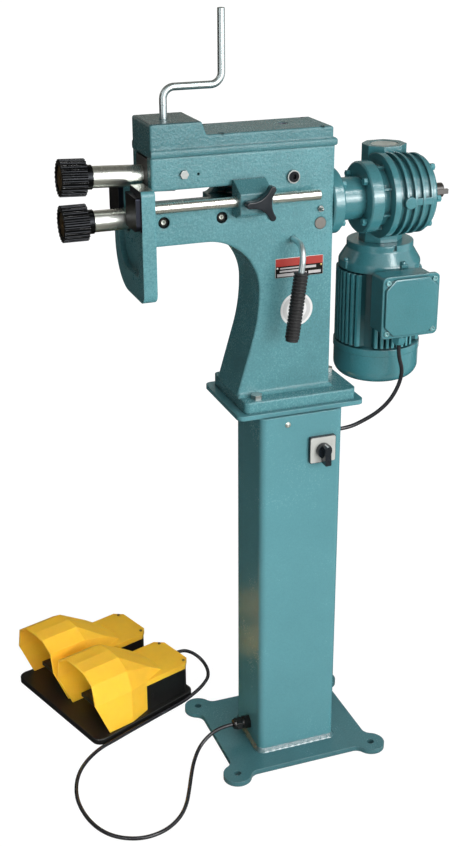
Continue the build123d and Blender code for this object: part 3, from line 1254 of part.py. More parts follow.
def motor_frame():
    """Core with straight fins on its four sides, cut away round the terminal box's neck."""
    low = MOTOR_LOW + FIN_GAP
    high = BELL_LOW - FIN_GAP
    half = FIN_THICK / 2
    fins = []
    for i in range(SIDE_FINS):
        y = WORM_Y + (i + 0.5 - SIDE_FINS / 2) * FIN_PITCH
        fins.append(block(WORM_X - MOTOR_FIN_R, WORM_X + MOTOR_FIN_R, y - half, y + half, low, high))
    for i in range(END_FINS):
        x = WORM_X + (i + 0.5 - END_FINS / 2) * FIN_PITCH
        fins.append(block(x - half, x + half, WORM_Y - MOTOR_FIN_R, WORM_Y + MOTOR_FIN_R, low, high))
    frame = rod_z(MOTOR_CORE_R, MOTOR_LOW, BELL_LOW, WORM_X, WORM_Y)
    for fin in fins:
        frame += fin & rod_z(MOTOR_FIN_R, low, high, WORM_X, WORM_Y)
    side = TBOX_NECK / 2 + FIN_CLEAR
    rise = TBOX_HEIGHT / 2 - TBOX_STEP + FIN_CLEAR
    room = block(TBOX_CENTRE - side, TBOX_CENTRE + side, WORM_Y - MOTOR_FIN_R - 1, WORM_Y,
                 TBOX_Z - rise, TBOX_Z + rise)
    frame -= room - rod_z(MOTOR_CORE_R, MOTOR_LOW, BELL_LOW, WORM_X, WORM_Y)
    return frame - rod_z(MOTOR_CORE_R - MOTOR_WALL, MOTOR_LOW, BELL_LOW, WORM_X, WORM_Y)


def stator_core():
    middle = (MOTOR_LOW + BELL_LOW) / 2
    half = STATOR_LENGTH / 2
    core = rod_z(MOTOR_CORE_R - MOTOR_WALL - FIT, middle - half, middle + half, WORM_X, WORM_Y)
    return core - rod_z(STATOR_BORE_R, middle - half, middle + half, WORM_X, WORM_Y)


def motor_cowl():
    """Fan cover with a raised rim, a rounded end and rings of air holes."""
    cowl = rod_z(COWL_R, COWL_LOW, MOTOR_LOW, WORM_X, WORM_Y)
    cowl = fillet(cowl.edges().sort_by(Axis.Z)[0], COWL_ROUND)
    cowl += rod_z(COWL_R + COWL_RIM_PROUD, MOTOR_LOW - COWL_RIM, MOTOR_LOW, WORM_X, WORM_Y)
    inside = rod_z(COWL_R - COWL_WALL, COWL_LOW + COWL_WALL, MOTOR_LOW, WORM_X, WORM_Y)
    cowl -= fillet(inside.edges().sort_by(Axis.Z)[0], COWL_ROUND - COWL_WALL)
    for ring in (0.3, 0.6):
        for x, y in around(COWL_HOLES, ring * COWL_R):
            cowl -= rod_z(COWL_HOLE_R, COWL_LOW - 1, COWL_LOW + 2 * COWL_WALL, WORM_X + x, WORM_Y + y)
    web = rod_z(COWL_R, MOTOR_LOW - MOTOR_WALL, MOTOR_LOW, WORM_X, WORM_Y)
    web -= rod_z(MOTOR_CORE_R - 2 * MOTOR_WALL, MOTOR_LOW - MOTOR_WALL, MOTOR_LOW, WORM_X, WORM_Y)
    return cowl + web


def motor_rotor():
    """Worm, motor shaft, rotor and fan, which turn as one."""
    fan_low = COWL_LOW + COWL_ROUND / 2
    middle = (MOTOR_LOW + BELL_LOW) / 2
    half = STATOR_LENGTH / 2
    rotor = rod_z(WORM_SHAFT_R, fan_low, TOWER_TOP - BOX_WALL - SIDE_GAP, WORM_X, WORM_Y)
    rotor += rod_z(WORM_R, AXIS_Z - WORM_LENGTH / 2, AXIS_Z + WORM_LENGTH / 2, WORM_X, WORM_Y)
    rotor += rod_z(ROTOR_R, middle - half, middle + half, WORM_X, WORM_Y)
    rotor += rod_z(2 * WORM_SHAFT_R, fan_low, fan_low + FAN_THICK, WORM_X, WORM_Y)
    for i in range(FAN_BLADES):
        blade = Pos(FAN_R / 2, 0, FAN_THICK / 2) * Box(FAN_R, FAN_BLADE, FAN_THICK)
        rotor += Pos(WORM_X, WORM_Y, fan_low) * Rot(0, 0, i * 360 / FAN_BLADES) * blade
    return rotor


def terminal_box():
    """Open-fronted box on a narrower neck that fits round the motor's core."""
    half = TBOX_WIDTH / 2
    neck = TBOX_NECK / 2
    wall = TBOX_WALL
    low = TBOX_Z - TBOX_HEIGHT / 2
    high = TBOX_Z + TBOX_HEIGHT / 2
    rear = TBOX_FRONT + TBOX_BODY
    x = TBOX_CENTRE
    box = block(x - half, x + half, TBOX_FRONT, rear, low, high)
    box = fillet(box.edges().filter_by(Axis.Y), LID_CORNER_R / 2)
    box += block(x - neck, x + neck, rear, WORM_Y, low + TBOX_STEP, high - TBOX_STEP)
    box -= block(x - half + wall, x + half - wall, TBOX_FRONT, rear - wall, low + wall, high - wall)
    box -= block(x - neck + wall, x + neck - wall, rear - wall, WORM_Y,
                 low + TBOX_STEP + wall, high - TBOX_STEP - wall)
    box -= rod_z(MOTOR_CORE_R + FIT, low - 1, high + 1, WORM_X, WORM_Y)
    box -= rod_z(BELL_R + SIDE_GAP, BELL_LOW - FIT, high + 1, WORM_X, WORM_Y)
    gland_y = TBOX_FRONT + MOTOR_GLAND_Y
    return box - rod_z(GLAND_STUB + FIT, low - 1, low + wall + 1, x + MOTOR_GLAND_X, gland_y)


def terminal_lid():
    plate = Pos(TBOX_CENTRE, TBOX_Z) * RectangleRounded(LID_WIDTH, LID_HEIGHT, LID_CORNER_R)
    lid = along_y(plate, TBOX_FRONT - LID_THICK, TBOX_FRONT)
    half_x = LID_WIDTH / 2 - LID_MARGIN
    half_z = LID_HEIGHT / 2 - LID_MARGIN
    cut = LID_CHAMFER - LID_MARGIN
    corners = [
        (-half_x, -half_z + cut),
        (-half_x, half_z - cut),
        (-half_x + cut, half_z),
        (half_x - cut, half_z),
        (half_x, half_z - cut),
        (half_x, -half_z + cut),
        (half_x - cut, -half_z),
        (-half_x + cut, -half_z),
    ]
    panel = outline([(TBOX_CENTRE + x, TBOX_Z + z, 0) for x, z in corners])
    raised = along_y(panel, TBOX_FRONT - LID_THICK - LID_PANEL, TBOX_FRONT - LID_THICK)
    lid += chamfer(raised.faces().sort_by(Axis.Y)[0].edges(), LID_PANEL * 0.7)
    return lid


def terminal_screws():
    screws = []
    for sx in (-1, 1):
        for sz in (-1, 1):
            x = TBOX_CENTRE + sx * (LID_WIDTH / 2 - LID_SCREW_INSET)
            z = TBOX_Z + sz * (LID_HEIGHT / 2 - LID_SCREW_INSET)
            front = TBOX_FRONT - LID_THICK
            head = rod_y(LID_SCREW_R, front - LID_SCREW_HEAD, front, x, z)
            screws.append(head - hex_y(LID_SCREW_R / 2, front - LID_SCREW_HEAD, front - 1, x, z))
    return screws


def gland(length, hole_r, size=1.0):
    """Cable gland standing on z = 0, with a stub below for its hole."""
    hex_r = size * GLAND_HEX_R
    dome_r = size * GLAND_DOME_R
    flange = along_z(RegularPolygon(hex_r, 6), 0, 0.35 * length)
    body = rod_z(dome_r, 0.35 * length, 0.45 * length, 0, 0)
    cap = along_z(RegularPolygon(0.92 * hex_r, 6), 0.45 * length, 0.8 * length)
    dome = rod_z(dome_r, 0.8 * length, length, 0, 0)
    dome = fillet(dome.edges().sort_by(Axis.Z)[-1], 0.15 * length)
    stub = rod_z(size * GLAND_STUB, -GLAND_STUB, 0, 0, 0)
    whole = flange + body + cap + dome + stub
    return whole - rod_z(hole_r + FIT, -GLAND_STUB, length - CABLE_SEAT, 0, 0)


def column_glands():
    half = COLUMN_LENGTH / 2
    pedal = Pos(-half, COLUMN_GLAND_Y, COLUMN_GLAND_Z) * Rot(0, -90, 0) * gland(COLUMN_GLAND, PEDAL_CABLE_R)
    entry = Pos(half, ENTRY_Y, ENTRY_Z) * Rot(0, 90, 0) * gland(ENTRY_GLAND, MOTOR_CABLE_R)
    return [pedal, entry]


def motor_gland():
    low = TBOX_Z - TBOX_HEIGHT / 2
    at = Pos(TBOX_CENTRE + MOTOR_GLAND_X, TBOX_FRONT + MOTOR_GLAND_Y, low)
    return at * Rot(180, 0, 0) * gland(MOTOR_GLAND, MOTOR_CABLE_R)


def motor_cable():
    x = TBOX_CENTRE + MOTOR_GLAND_X
    y = TBOX_FRONT + MOTOR_GLAND_Y
    z = TBOX_Z - TBOX_HEIGHT / 2 - MOTOR_GLAND
    end = COLUMN_LENGTH / 2 + ENTRY_GLAND
    return cable("motor_cable", [
        (x, y, z),
        (x, y, z - 20),
        (205, -32, ENTRY_Z + 104),
        (201, -28, ENTRY_Z + 74),
        (187, -24, ENTRY_Z + 46),
        (165, -20, ENTRY_Z + 25),
        (139, -13, ENTRY_Z + 9),
        (end + 20, ENTRY_Y, ENTRY_Z),
        (end, ENTRY_Y, ENTRY_Z),
    ], MOTOR_CABLE_R)


def switch_base():
    half = SWITCH_SIZE / 2
    back = COLUMN_FRONT
    plate = Pos(SWITCH_X, SWITCH_Z) * RectangleRounded(SWITCH_SIZE, SWITCH_SIZE, half / 8)
    base = along_y(plate, back - SWITCH_BASE, back)
    base += rod_y(SWITCH_BARREL_R, back, back + SWITCH_DEPTH, SWITCH_X, SWITCH_Z)
    depth = back + SWITCH_DEPTH / 2
    return base - rod_y(SWITCH_SPINDLE_R + RUN, back - SWITCH_BASE, depth, SWITCH_X, SWITCH_Z)


def switch_face():
    side = SWITCH_SIZE - 2 * SWITCH_FACE_INSET
    back = COLUMN_FRONT - SWITCH_BASE
    plate = Pos(SWITCH_X, SWITCH_Z) * RectangleRounded(side, side, side / 16)
    face = along_y(plate, back - SWITCH_FACE, back)
    return face - rod_y(SWITCH_SPINDLE_R + SIDE_GAP, back - SWITCH_FACE, back, SWITCH_X, SWITCH_Z)


def switch_knob():
    back = COLUMN_FRONT - SWITCH_BASE - SWITCH_FACE - SIDE_GAP
    mid = back - SWITCH_KNOB
    knob = rod_y(SWITCH_KNOB_R, mid, back, 0, 0)
    half = SWITCH_BAR_WIDTH / 2
    bar = outline([
        (-SWITCH_BAR_TAIL, -half, half / 2),
        (SWITCH_BAR_REACH, -half, half / 4),
        (SWITCH_BAR_REACH, half, half / 4),
        (-SWITCH_BAR_TAIL, half, half / 2),
    ])
    knob += along_y(bar, mid - SWITCH_BAR, back - SWITCH_KNOB / 2)
    knob += rod_y(SWITCH_SPINDLE_R, back, COLUMN_FRONT + SWITCH_DEPTH / 2 - SIDE_GAP, 0, 0)
    return Pos(SWITCH_X, 0, SWITCH_Z) * Rot(0, -SWITCH_REST, 0) * knob


def pedal_base():
    """Floor plate, narrower at its back."""
    taper = (FOOT_WIDTH - FOOT_BACK_WIDTH) / 2
    base = along_z(outline([
        (0, 0, FOOT_CORNER_R),
        (FOOT_DEPTH, taper, FOOT_CORNER_R),
        (FOOT_DEPTH, FOOT_WIDTH - taper, FOOT_CORNER_R),
        (0, FOOT_WIDTH, FOOT_CORNER_R),
    ]), 0, FOOT_THICK)
    return in_foot_frame(fillet(base.faces().sort_by(Axis.Z)[-1].edges(), EDGE_R))


def unit_middle(index):
    """Left-right place of a foot unit's middle."""
    side = 2 * index - 1
    return FOOT_WIDTH / 2 + side * (UNIT_WIDTH + UNIT_GAP) / 2


def lid_plan(inset):
    """Plan of a housing or lid about its middle, with cut corners at the back."""
    half = UNIT_WIDTH / 2 - LID_INSET - inset
    back = FOOT_DEPTH - LID_BACK_INSET - inset
    cut = LID_CUT - inset * math.tan(math.radians(22.5))
    return outline([
        (GUARD_SIDE_U, -half, 0),
        (back - cut, -half, 0),
        (back, -half + cut, 0),
        (back, half - cut, 0),
        (back - cut, half, 0),
        (GUARD_SIDE_U, half, 0),
    ])


def housing_half():
    """Half width over a housing's side walls."""
    return UNIT_WIDTH / 2 - LID_INSET - HOUSING_INSET


def housing_back():
    return FOOT_DEPTH - LID_BACK_INSET - HOUSING_INSET


def pedal_housing(index):
    """Open-topped black box behind the treadle, with the treadle's pivot holes."""
    middle = Pos(0, unit_middle(index))
    wall = FOOT_HOUSING_WALL
    half = housing_half()
    back = housing_back()
    box = along_z(lid_plan(HOUSING_INSET), FOOT_THICK, LID_LOW)
    box -= along_z(lid_plan(HOUSING_INSET + wall), FOOT_THICK, LID_LOW)
    box -= rod_y(TREADLE_PIN_R + RUN, -half - 1, half + 1, TREADLE_PIN_U, TREADLE_Z)
    if index == 0:
        hole_r = FOOT_GLAND_SIZE * GLAND_STUB + FIT
        box -= rod_x(hole_r, back - 2 * wall, back + 1, FOOT_GLAND_SIDE, FOOT_GLAND_Z)
    return in_foot_frame(middle * box)


def pedal_housings():
    return Compound(children=[pedal_housing(0), pedal_housing(1)])


def trimmed(shape, points, inset):
    """Cuts away what lies outside the plane through three points, moved inward by an inset.

    Seen from outside, the points run anticlockwise.
    """
    a, b, c = [Vector(*p) for p in points]
    outward = (b - a).cross(c - a).normalized()
    reach = 4 * FOOT_WIDTH
    outside = Plane(origin=a - outward * inset, z_dir=outward) * Pos(0, 0, reach / 2)
    return shape - outside * Box(reach, reach, reach)


def guard_form(inset, front, low):
    """Faceted form of a guard about its middle, drawn in from its outside by an inset."""
    half = UNIT_WIDTH / 2
    hip, hip_z = GUARD_HIP
    crown, crown_z = GUARD_CROWN
    crest = GUARD_CREST_U
    waist = GUARD_WAIST_U
    lid_half = half - LID_INSET
    form = block(front, LID_SLOPE_U, -half + inset, half - inset, low, GUARD_RIDGE)
    for side in (-1, 1):
        facets = [
            [(0, half, GUARD_SHOULDER), (0, hip, hip_z), (1, hip, hip_z)],
            [(0, hip, hip_z), (0, crown, crown_z), (1, crown, crown_z)],
            [(0, crown, crown_z), (0, 0, GUARD_RIDGE), (1, 0, GUARD_RIDGE)],
            [(crest, 0, GUARD_RIDGE), (LID_SLOPE_U, 0, LID_TOP), (crest, crown, crown_z)],
            [(crest, crown, crown_z), (LID_SLOPE_U, LID_SLOPE_HALF, LID_TOP), (crest, hip, hip_z)],
            [(crest, hip, hip_z), (GUARD_SIDE_U, lid_half, LID_TOP), (waist, half, GUARD_SHOULDER)],
            [(waist, half, 0), (GUARD_SIDE_U, lid_half, LID_TOP), (GUARD_SIDE_U, lid_half, 0)],
        ]
        for facet in facets:
            turned = [(u, side * v, z) for u, v, z in facet]
            form = trimmed(form, turned if side > 0 else turned[::-1], inset)
    return form


def pedal_cover(index):
    """Yellow guard over the treadle, in one piece with the lid of the housing behind it."""
    shell = guard_form(0, GUARD_FRONT, FOOT_THICK)
    toe = [(GUARD_FRONT, 0, GUARD_SHOULDER), (GUARD_FRONT, 1, GUARD_SHOULDER), (GUARD_FOOT_U, 0, FOOT_THICK)]
    shell = trimmed(shell, toe, 0)
    shell -= block(GUARD_SIDE_U, FOOT_DEPTH, -UNIT_WIDTH, UNIT_WIDTH, FOOT_THICK, LID_LOW)
    shell += along_z(lid_plan(0), LID_LOW, LID_TOP)
    shell -= guard_form(GUARD_WALL, GUARD_FRONT - 1, 0)
    shell -= along_z(lid_plan(GUARD_WALL), LID_LOW, LID_TOP - GUARD_WALL)
    return in_foot_frame(Pos(0, unit_middle(index)) * shell)


def treadle(index):
    """Ribbed foot plate on its own stub pins."""
    reach = housing_half() - FOOT_HOUSING_WALL - TREADLE_MARGIN
    half = TREADLE_THICK / 2
    top = TREADLE_Z + half
    plate = block(TREADLE_U, TREADLE_PIN_U, -reach, reach, TREADLE_Z - half, top)
    plate += rod_y(half, -reach, reach, TREADLE_PIN_U, TREADLE_Z)
    pitch = (TREADLE_PIN_U - TREADLE_U - 2 * TREADLE_THICK) / TREADLE_RIBS
    for i in range(TREADLE_RIBS):
        u = TREADLE_U + TREADLE_THICK + i * pitch
        plate += block(u, u + TREADLE_RIB, -reach + half, reach - half, top, top + TREADLE_RIB)
    pin = housing_half() - SIDE_GAP
    plate += rod_y(TREADLE_PIN_R, -pin, pin, TREADLE_PIN_U, TREADLE_Z)
    return in_foot_frame(Pos(0, unit_middle(index)) * plate)


def pedal_gland():
    at = Pos(housing_back(), unit_middle(0) + FOOT_GLAND_SIDE, FOOT_GLAND_Z)
    return in_foot_frame(at * Rot(0, 90, 0) * gland(FOOT_GLAND, PEDAL_CABLE_R, FOOT_GLAND_SIZE))


def pedal_cable():
    exit_u = housing_back() + FOOT_GLAND
    exit_v = unit_middle(0) + FOOT_GLAND_SIDE
    end = -COLUMN_LENGTH / 2 - COLUMN_GLAND
    return cable("pedal_cable", [
        foot_point(exit_u, exit_v, FOOT_GLAND_Z),
        foot_point(exit_u + 19.5, exit_v, FOOT_GLAND_Z),
        (-103.2, 255, 42),
        (-88.2, 249.4, 31.6),
        (-78.2, 236.7, 21.4),
        (-75.4, 219.6, 13.2),
        (-80.6, 201.8, 8.4),
        (-92.8, 187.5, 6.8),
        (-108, 174, 5),
        (-127, 160, 4.6),
        (-150, 145, 4.5),
        (-179, 131.5, 4.5),
        (-214, 116.5, 4.5),
        (-248, 101, 4.5),
        (-282, 86, 4.5),
        (-314, 70.5, 4.5),
        (-348, 56, 4.5),
        (-381, 29, 4.5),
        (-405, -3, 4.5),
        (-420, -42, 4.5),
        (-426, -84, 4.5),
        (-420, -134, 4.5),
        (-403, -174, 4.5),
        (-377, -199, 4.5),
        (-342, -212, 4.5),
        (-304, -207, 4.5),
        (-272, -187, 4.5),
        (-248, -157, 4.5),
        (-229, -117, 4.5),
        (-213, -80, 4.5),
        (-196, -46, 8),
        (-176, -22, 19),
        (-152, -14, 34),
        (end - 20, COLUMN_GLAND_Y, COLUMN_GLAND_Z),
        (end, COLUMN_GLAND_Y, COLUMN_GLAND_Z),
    ], PEDAL_CABLE_R)


NODES = {
    "base_plate": base_plate,
    "pedestal_column": pedestal_column,
    "top_plate": top_plate,
    "hex_bolts": lambda: Compound(children=foot_bolts() + gearbox_bolts()),
    "body_casting": body_casting,
    "top_cover": top_cover,
    "socket_screws": lambda: Compound(children=cover_screws() + terminal_screws()),
    "crank_nut": crank_nut,
    "thrust_pad": thrust_pad,
    "crank_screw": crank_screw,
    "rocker_arm": rocker_arm,
    "rocker_bushes": rocker_bushes,
    "pivot_screws": lambda: Compound(children=pivot_pins() + pivot_nuts()),
    "return_springs": return_springs,
    "upper_shaft": upper_shaft,
    "upper_roll": lambda: tilted(roll(PIVOT_Z)),
    "upper_roll_cap": lambda: tilted(roll_cap(PIVOT_Z)),
    "upper_gear": lambda: tilted(gear(PIVOT_Z, 180 / GEAR_TEETH)),
    "lower_shaft": lower_shaft,
    "lower_roll": lambda: roll(AXIS_Z),
    "lower_roll_cap": lambda: roll_cap(AXIS_Z),
    "lower_gear": lambda: gear(AXIS_Z, 0),
    "drive_key": drive_key,
    "lower_bushes": lower_bushes,
    "body_screws": lambda: Compound(children=bush_set_screws() + [guide_screw()]),
    "shift_ring": shift_ring,
    "shift_fork": shift_fork,
    "lever_rod": lever_rod,
    "lever_grip": lever_grip,
    "grease_nipple": grease_nipple,
    "side_plug": side_plug,
    "gauge_casting": gauge_casting,
    "gauge_faces": gauge_faces,
    "gauge_rod": gauge_rod,
    "gauge_bracket": gauge_bracket,
    "gauge_knob": gauge_knob,
    "gearbox_adapter": gearbox_adapter,
    "gearbox_housing": gearbox_housing,
    "gearbox_cover": gearbox_cover,
    "gearbox_bearings": gearbox_bearings,
    "worm_wheel": worm_wheel,
    "motor_bell": motor_bell,
    "motor_frame": motor_frame,
    "stator_core": stator_core,
    "motor_cowl": motor_cowl,
    "motor_rotor": motor_rotor,
    "terminal_box": terminal_box,
    "terminal_lid": terminal_lid,
    "motor_cable": motor_cable,
    "cable_glands": lambda: Compound(children=column_glands() + [motor_gland(), pedal_gland()]),
    "switch_base": switch_base,
    "switch_face": switch_face,
    "switch_knob": switch_knob,
    "pedal_base": pedal_base,
    "pedal_housings": pedal_housings,
    "pedal_cover_near": lambda: pedal_cover(0),
    "pedal_cover_far": lambda: pedal_cover(1),
    "treadle_near": lambda: treadle(0),
    "treadle_far": lambda: treadle(1),
    "pedal_cable": pedal_cable,
}

os.makedirs("parts", exist_ok=True)
for node, make in NODES.items():
    export_step(make(), f"parts/{node}.step")
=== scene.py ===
import math

import bmesh
import bpy
from bpy.props import FloatProperty, FloatVectorProperty, IntProperty, PointerProperty
from mathutils import Matrix, Vector


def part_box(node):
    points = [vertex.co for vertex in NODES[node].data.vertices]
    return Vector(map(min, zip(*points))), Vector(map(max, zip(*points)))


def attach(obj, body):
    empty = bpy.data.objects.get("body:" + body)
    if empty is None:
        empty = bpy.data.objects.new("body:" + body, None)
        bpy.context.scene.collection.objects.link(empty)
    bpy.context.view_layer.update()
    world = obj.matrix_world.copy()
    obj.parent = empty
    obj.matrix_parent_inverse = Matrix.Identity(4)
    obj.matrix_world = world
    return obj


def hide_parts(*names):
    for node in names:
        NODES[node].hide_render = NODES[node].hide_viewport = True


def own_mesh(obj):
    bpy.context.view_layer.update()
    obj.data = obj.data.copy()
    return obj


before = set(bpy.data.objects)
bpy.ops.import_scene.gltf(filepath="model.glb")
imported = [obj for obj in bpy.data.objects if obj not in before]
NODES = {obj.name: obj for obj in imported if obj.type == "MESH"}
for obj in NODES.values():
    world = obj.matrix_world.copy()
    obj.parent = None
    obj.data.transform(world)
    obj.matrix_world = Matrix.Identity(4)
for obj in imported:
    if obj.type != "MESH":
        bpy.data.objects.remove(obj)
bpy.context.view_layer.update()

bl_info = {
    "name": "Swage Jenny Dressing",
    "version": (1, 0, 0),
    "blender": (4, 5, 0),
    "location": "View3D > Sidebar > Swage Jenny",
    "description": "Paint, steel, cables, plates and a studio stage for the packed swage jenny",
    "category": "Object",
}

# Routes of the two cables, in metres
PEDAL_ROUTE = [
    (-0.14018, 0.24578, 0.05),
    (-0.12179, 0.25225, 0.05),
    (-0.1032, 0.255, 0.042),
    (-0.0882, 0.2494, 0.0316),
    (-0.0782, 0.2367, 0.0214),
    (-0.0754, 0.2196, 0.0132),
    (-0.0806, 0.2018, 0.0084),
    (-0.0928, 0.1875, 0.0068),
    (-0.108, 0.174, 0.005),
    (-0.127, 0.16, 0.0046),
    (-0.15, 0.145, 0.0045),
    (-0.179, 0.1315, 0.0045),
    (-0.214, 0.1165, 0.0045),
    (-0.248, 0.101, 0.0045),
    (-0.282, 0.086, 0.0045),
    (-0.314, 0.0705, 0.0045),
    (-0.348, 0.056, 0.0045),
    (-0.381, 0.029, 0.0045),
    (-0.405, -0.003, 0.0045),
    (-0.42, -0.042, 0.0045),
    (-0.426, -0.084, 0.0045),
    (-0.42, -0.134, 0.0045),
    (-0.403, -0.174, 0.0045),
    (-0.377, -0.199, 0.0045),
    (-0.342, -0.212, 0.0045),
    (-0.304, -0.207, 0.0045),
    (-0.272, -0.187, 0.0045),
    (-0.248, -0.157, 0.0045),
    (-0.229, -0.117, 0.0045),
    (-0.213, -0.08, 0.0045),
    (-0.196, -0.046, 0.008),
    (-0.176, -0.022, 0.019),
    (-0.152, -0.014, 0.034),
    (-0.128, -0.014, 0.044),
    (-0.108, -0.014, 0.044),
]
MOTOR_ROUTE = [
    (0.194, -0.0335, 0.772),
    (0.194, -0.0335, 0.752),
    (0.205, -0.032, 0.722),
    (0.201, -0.028, 0.692),
    (0.187, -0.024, 0.664),
    (0.165, -0.02, 0.643),
    (0.139, -0.013, 0.627),
    (0.115, -0.01, 0.618),
    (0.095, -0.01, 0.618),
]

# Measures of the solids, in metres and radians
COLUMN_SIZE = (0.150, 0.120)
COLUMN_CORNER = 0.011
COLUMN_FOOT_STEP = 0.005
FLANGE_STEP = 0.0310
COVER_STEP = 0.0210
TOWER_RIM = 0.002
LID_TOP = 0.078
SET_SCREWS = (-0.222, -0.126)
ROLL_AXIS = 1.021
LUG_TURN = math.radians(9)
LUG_RADIUS = 0.0705
LUG_RISE = 0.0158
POINTER_TURN = math.radians(2)
POINTER_TAIL = 0.013
POINTER_DEPTH = 0.0066
FOOT_UNITS = (0.07625, 0.21975)
FOOT_PLACE = Vector((-0.3491, 0.0638, 0))
FOOT_YAW = math.radians(19.4)

# Return springs: wire's radius and travel in metres, steps of a turn, sides of the wire, closing of the ends
SPRING_WIRE = 0.001
SPRING_STEPS = 24
SPRING_SIDES = 10
CLOSED_ENDS = 0.35

# Places of the added pieces: x and z on a front face, x and y on the cover, depth and width on a foot unit
NAMEPLATE_AT = (0.0081, 0.9275)
LABEL_AT = (0.0046, 0.8543)
EARTH_SCREW_AT = (-0.027, 0.6679)
OIL_PLUG_AT = (-0.002, 0.028)
LID_SCREWS_AT = ((0.140, -0.045), (0.140, 0.045), (0.232, -0.040), (0.232, 0.040))

# Turned outlines: radius and height of each point, in metres
RIVET_OUTLINE = [(0.0019, 0), (0.0019, 0.0004), (0.0015, 0.0009), (0.0008, 0.0012), (0.0002, 0.0013)]
WASHER_OUTLINE = [(0.0050, -0.0004), (0.0050, 0.0006), (0.0046, 0.0009), (0.0036, 0.0009)]
CAP_OUTLINE = [(0.0236, -0.0003), (0.0236, 0.0008), (0.0226, 0.0014), (0.0200, 0.0014),
               (0.0190, 0.0010), (0.0050, 0.0012), (0.0040, 0.0007), (0.0010, 0.0007)]
PLUG_OUTLINE = [(0.0078, -0.004), (0.0078, -0.0012), (0.0070, -0.0004), (0.0056, -0.0004),
                (0.0050, -0.0018), (0.0008, -0.0018)]

# Steps of the lid's raised panel: inset and height in metres. Its cut corners shrink by a share of the inset
PANEL_STEPS = ((0, -0.0004), (0.0002, 0.0005), (0.0012, 0.0011), (0.0022, 0.0012))
CUT_SHRINK = 0.6

# Fields of the nameplate, as shares of its width and height. Each strip has a shift, level, width and height
PLATE_FIELD = (0.49, 0.485)
BAND_SIZE = (0.975, 0.40)
BAND_LEVEL = 0.285
RIVET_SHIFT = 0.455
PLATE_STRIPS = ((-0.19, -0.02, 0.42, 0.07), (0.20, -0.05, 0.30, 0.13), (-0.17, -0.17, 0.48, 0.09),
                (-0.15, -0.36, 0.62, 0.16), (0.32, -0.33, 0.26, 0.15))

# Round label: share of its radius and height in metres at each point, then the outer and inner edge of its ring
LABEL_OUTLINE = ((1, -0.0003), (1, 0.0001), (0.995, 0.0002), (0.2, 0.00022))
LABEL_RING = (0.86, 0.62)

# White line on the pointer: length and width, in metres
POINTER_LINE = (0.0125, 0.0026)

# Weld bead: steps of a ripple and of its section, size of its ripples, wander and hollow, how far it sinks in
RIPPLE_STEPS = 4
SECTION_STEPS = 8
RIPPLE_SHARE = 0.11
WANDER_SHARE = 0.05
WANDER_RATE = 0.37
HOLLOW_SHARE = 0.24
SUNK_SIDE = 0.0004
SUNK_FOOT = 0.0002

# Where a finish gives way to a second colour, in metres. Several of these second colours are painted shade or a
# painted highlight
SCREW_RECESS_SHADE = 0.0092
SCREW_RIM_SHADE = 0.0090
SCREW_POINT_HIGHLIGHT = 0.0036
NUT_BORE = 0.0088
BLOCK_TOP_SHADE_SKIN = 0.0015
GAUGE_SEAT_SKIN = 0.0006
GAUGE_CROWN_SKIN = 0.0005
BEAD_HIGHLIGHT_FRONT = 0.001
FIN_SHADE_DEPTH = 0.004
SHAFT_TAIL = 0.004
DRIVE_MARGIN = 0.01
GLAND_DROP = 0.06

# Shared by several pieces or finishes
HEAD_SEGMENTS = 36
SOCKET_SIDES = 6
PAINT_GRAIN = 420
EVEN_MARKS = (300, 300, 300)
FRONT = (0, -1, 0)
UP = (0, 0, 1)

# Lamps: name, place, point that each faces, width and height in metres, spread in degrees
LAMPS = (
    ("key", (0.75, -3.0, 1.55), (0.0, 0.0, 0.72), 2.4, 2.0, 180),
    ("strip", (1.25, -2.9, 1.65), (0.1, 0.0, 0.95), 1.8, 0.24, 180),
    ("gloss", (1.06, -2.0, 2.97), (0.3, 0.0, 0.85), 0.55, 0.55, 180),
    ("fill", (2.6, -0.9, 1.5), (0.1, 0.0, 0.8), 1.4, 1.8, 180),
    ("top", (-0.2, -0.4, 3.2), (0.0, 0.0, 0.8), 2.0, 2.0, 180),
    ("foot", (-0.45, -0.75, 1.0), (-0.25, 0.2, 0.05), 0.5, 0.4, 60),
    ("guard", (-0.90, -0.80, 0.40), (-0.37, 0.14, 0.06), 0.2, 0.15, 26),
    ("rear", (1.3, 2.5, 1.7), (0.1, 0.0, 0.7), 1.8, 1.6, 180),
)
HIDDEN_FROM_REFLECTIONS = ("rear", "fill")
REFLECTIONS_ONLY = "gloss"

# Grey cards that reflections see: name, two opposite corners in metres, shade
FLAGS = (
    ("left_flag", (-2.3, -0.6, 0), (-2.3, 2.8, 2.4), 0.02),
    ("right_flag", (2.6, 0.1, 0), (2.6, 2.8, 2.4), 0.16),
    ("far_floor_flag", (-2.3, -3.4, 0), (2.5, -0.8, 0), 0.26),
    ("near_floor_flag", (-2.3, -0.8, 0), (2.5, -0.1, 0), 0.46),
    ("rear_floor_flag", (-2.3, -0.1, 0), (2.5, 1.3, 0), 0.03),
    ("front_flag", (-2.3, -3.6, 0), (2.5, -3.6, 2.6), 0.22),
    ("back_flag", (-2.3, 1.3, 0), (1.5, 1.3, 1.0), 0.05),
    ("wall_flag", (-2.3, 1.3, 1.0), (1.5, 1.3, 2.4), 0.44),
    ("ceiling_flag", (-1.5, -1.0, 2.4), (1.5, 1.8, 2.4), 0.22),
)
SHADING_FLAG = "left_flag"
FLAG_LIFT = 0.0006

# Floor: half its side, its matt colour and its glow
FLOOR_REACH = 20
FLOOR_GREY = (0.9, 0.9, 0.9, 1)
FLOOR_GLOW = 1.07
WHITE = (1, 1, 1, 1)

# Share of the glow near the object, where the shadow shows, and the distances over which it grows to all
SHADOW_SHARE = 0.89
SHADOW_SPAN = (0.5, 1.5)

# Strength of the room's light on dull surfaces
ROOM_LIGHT = 0.15


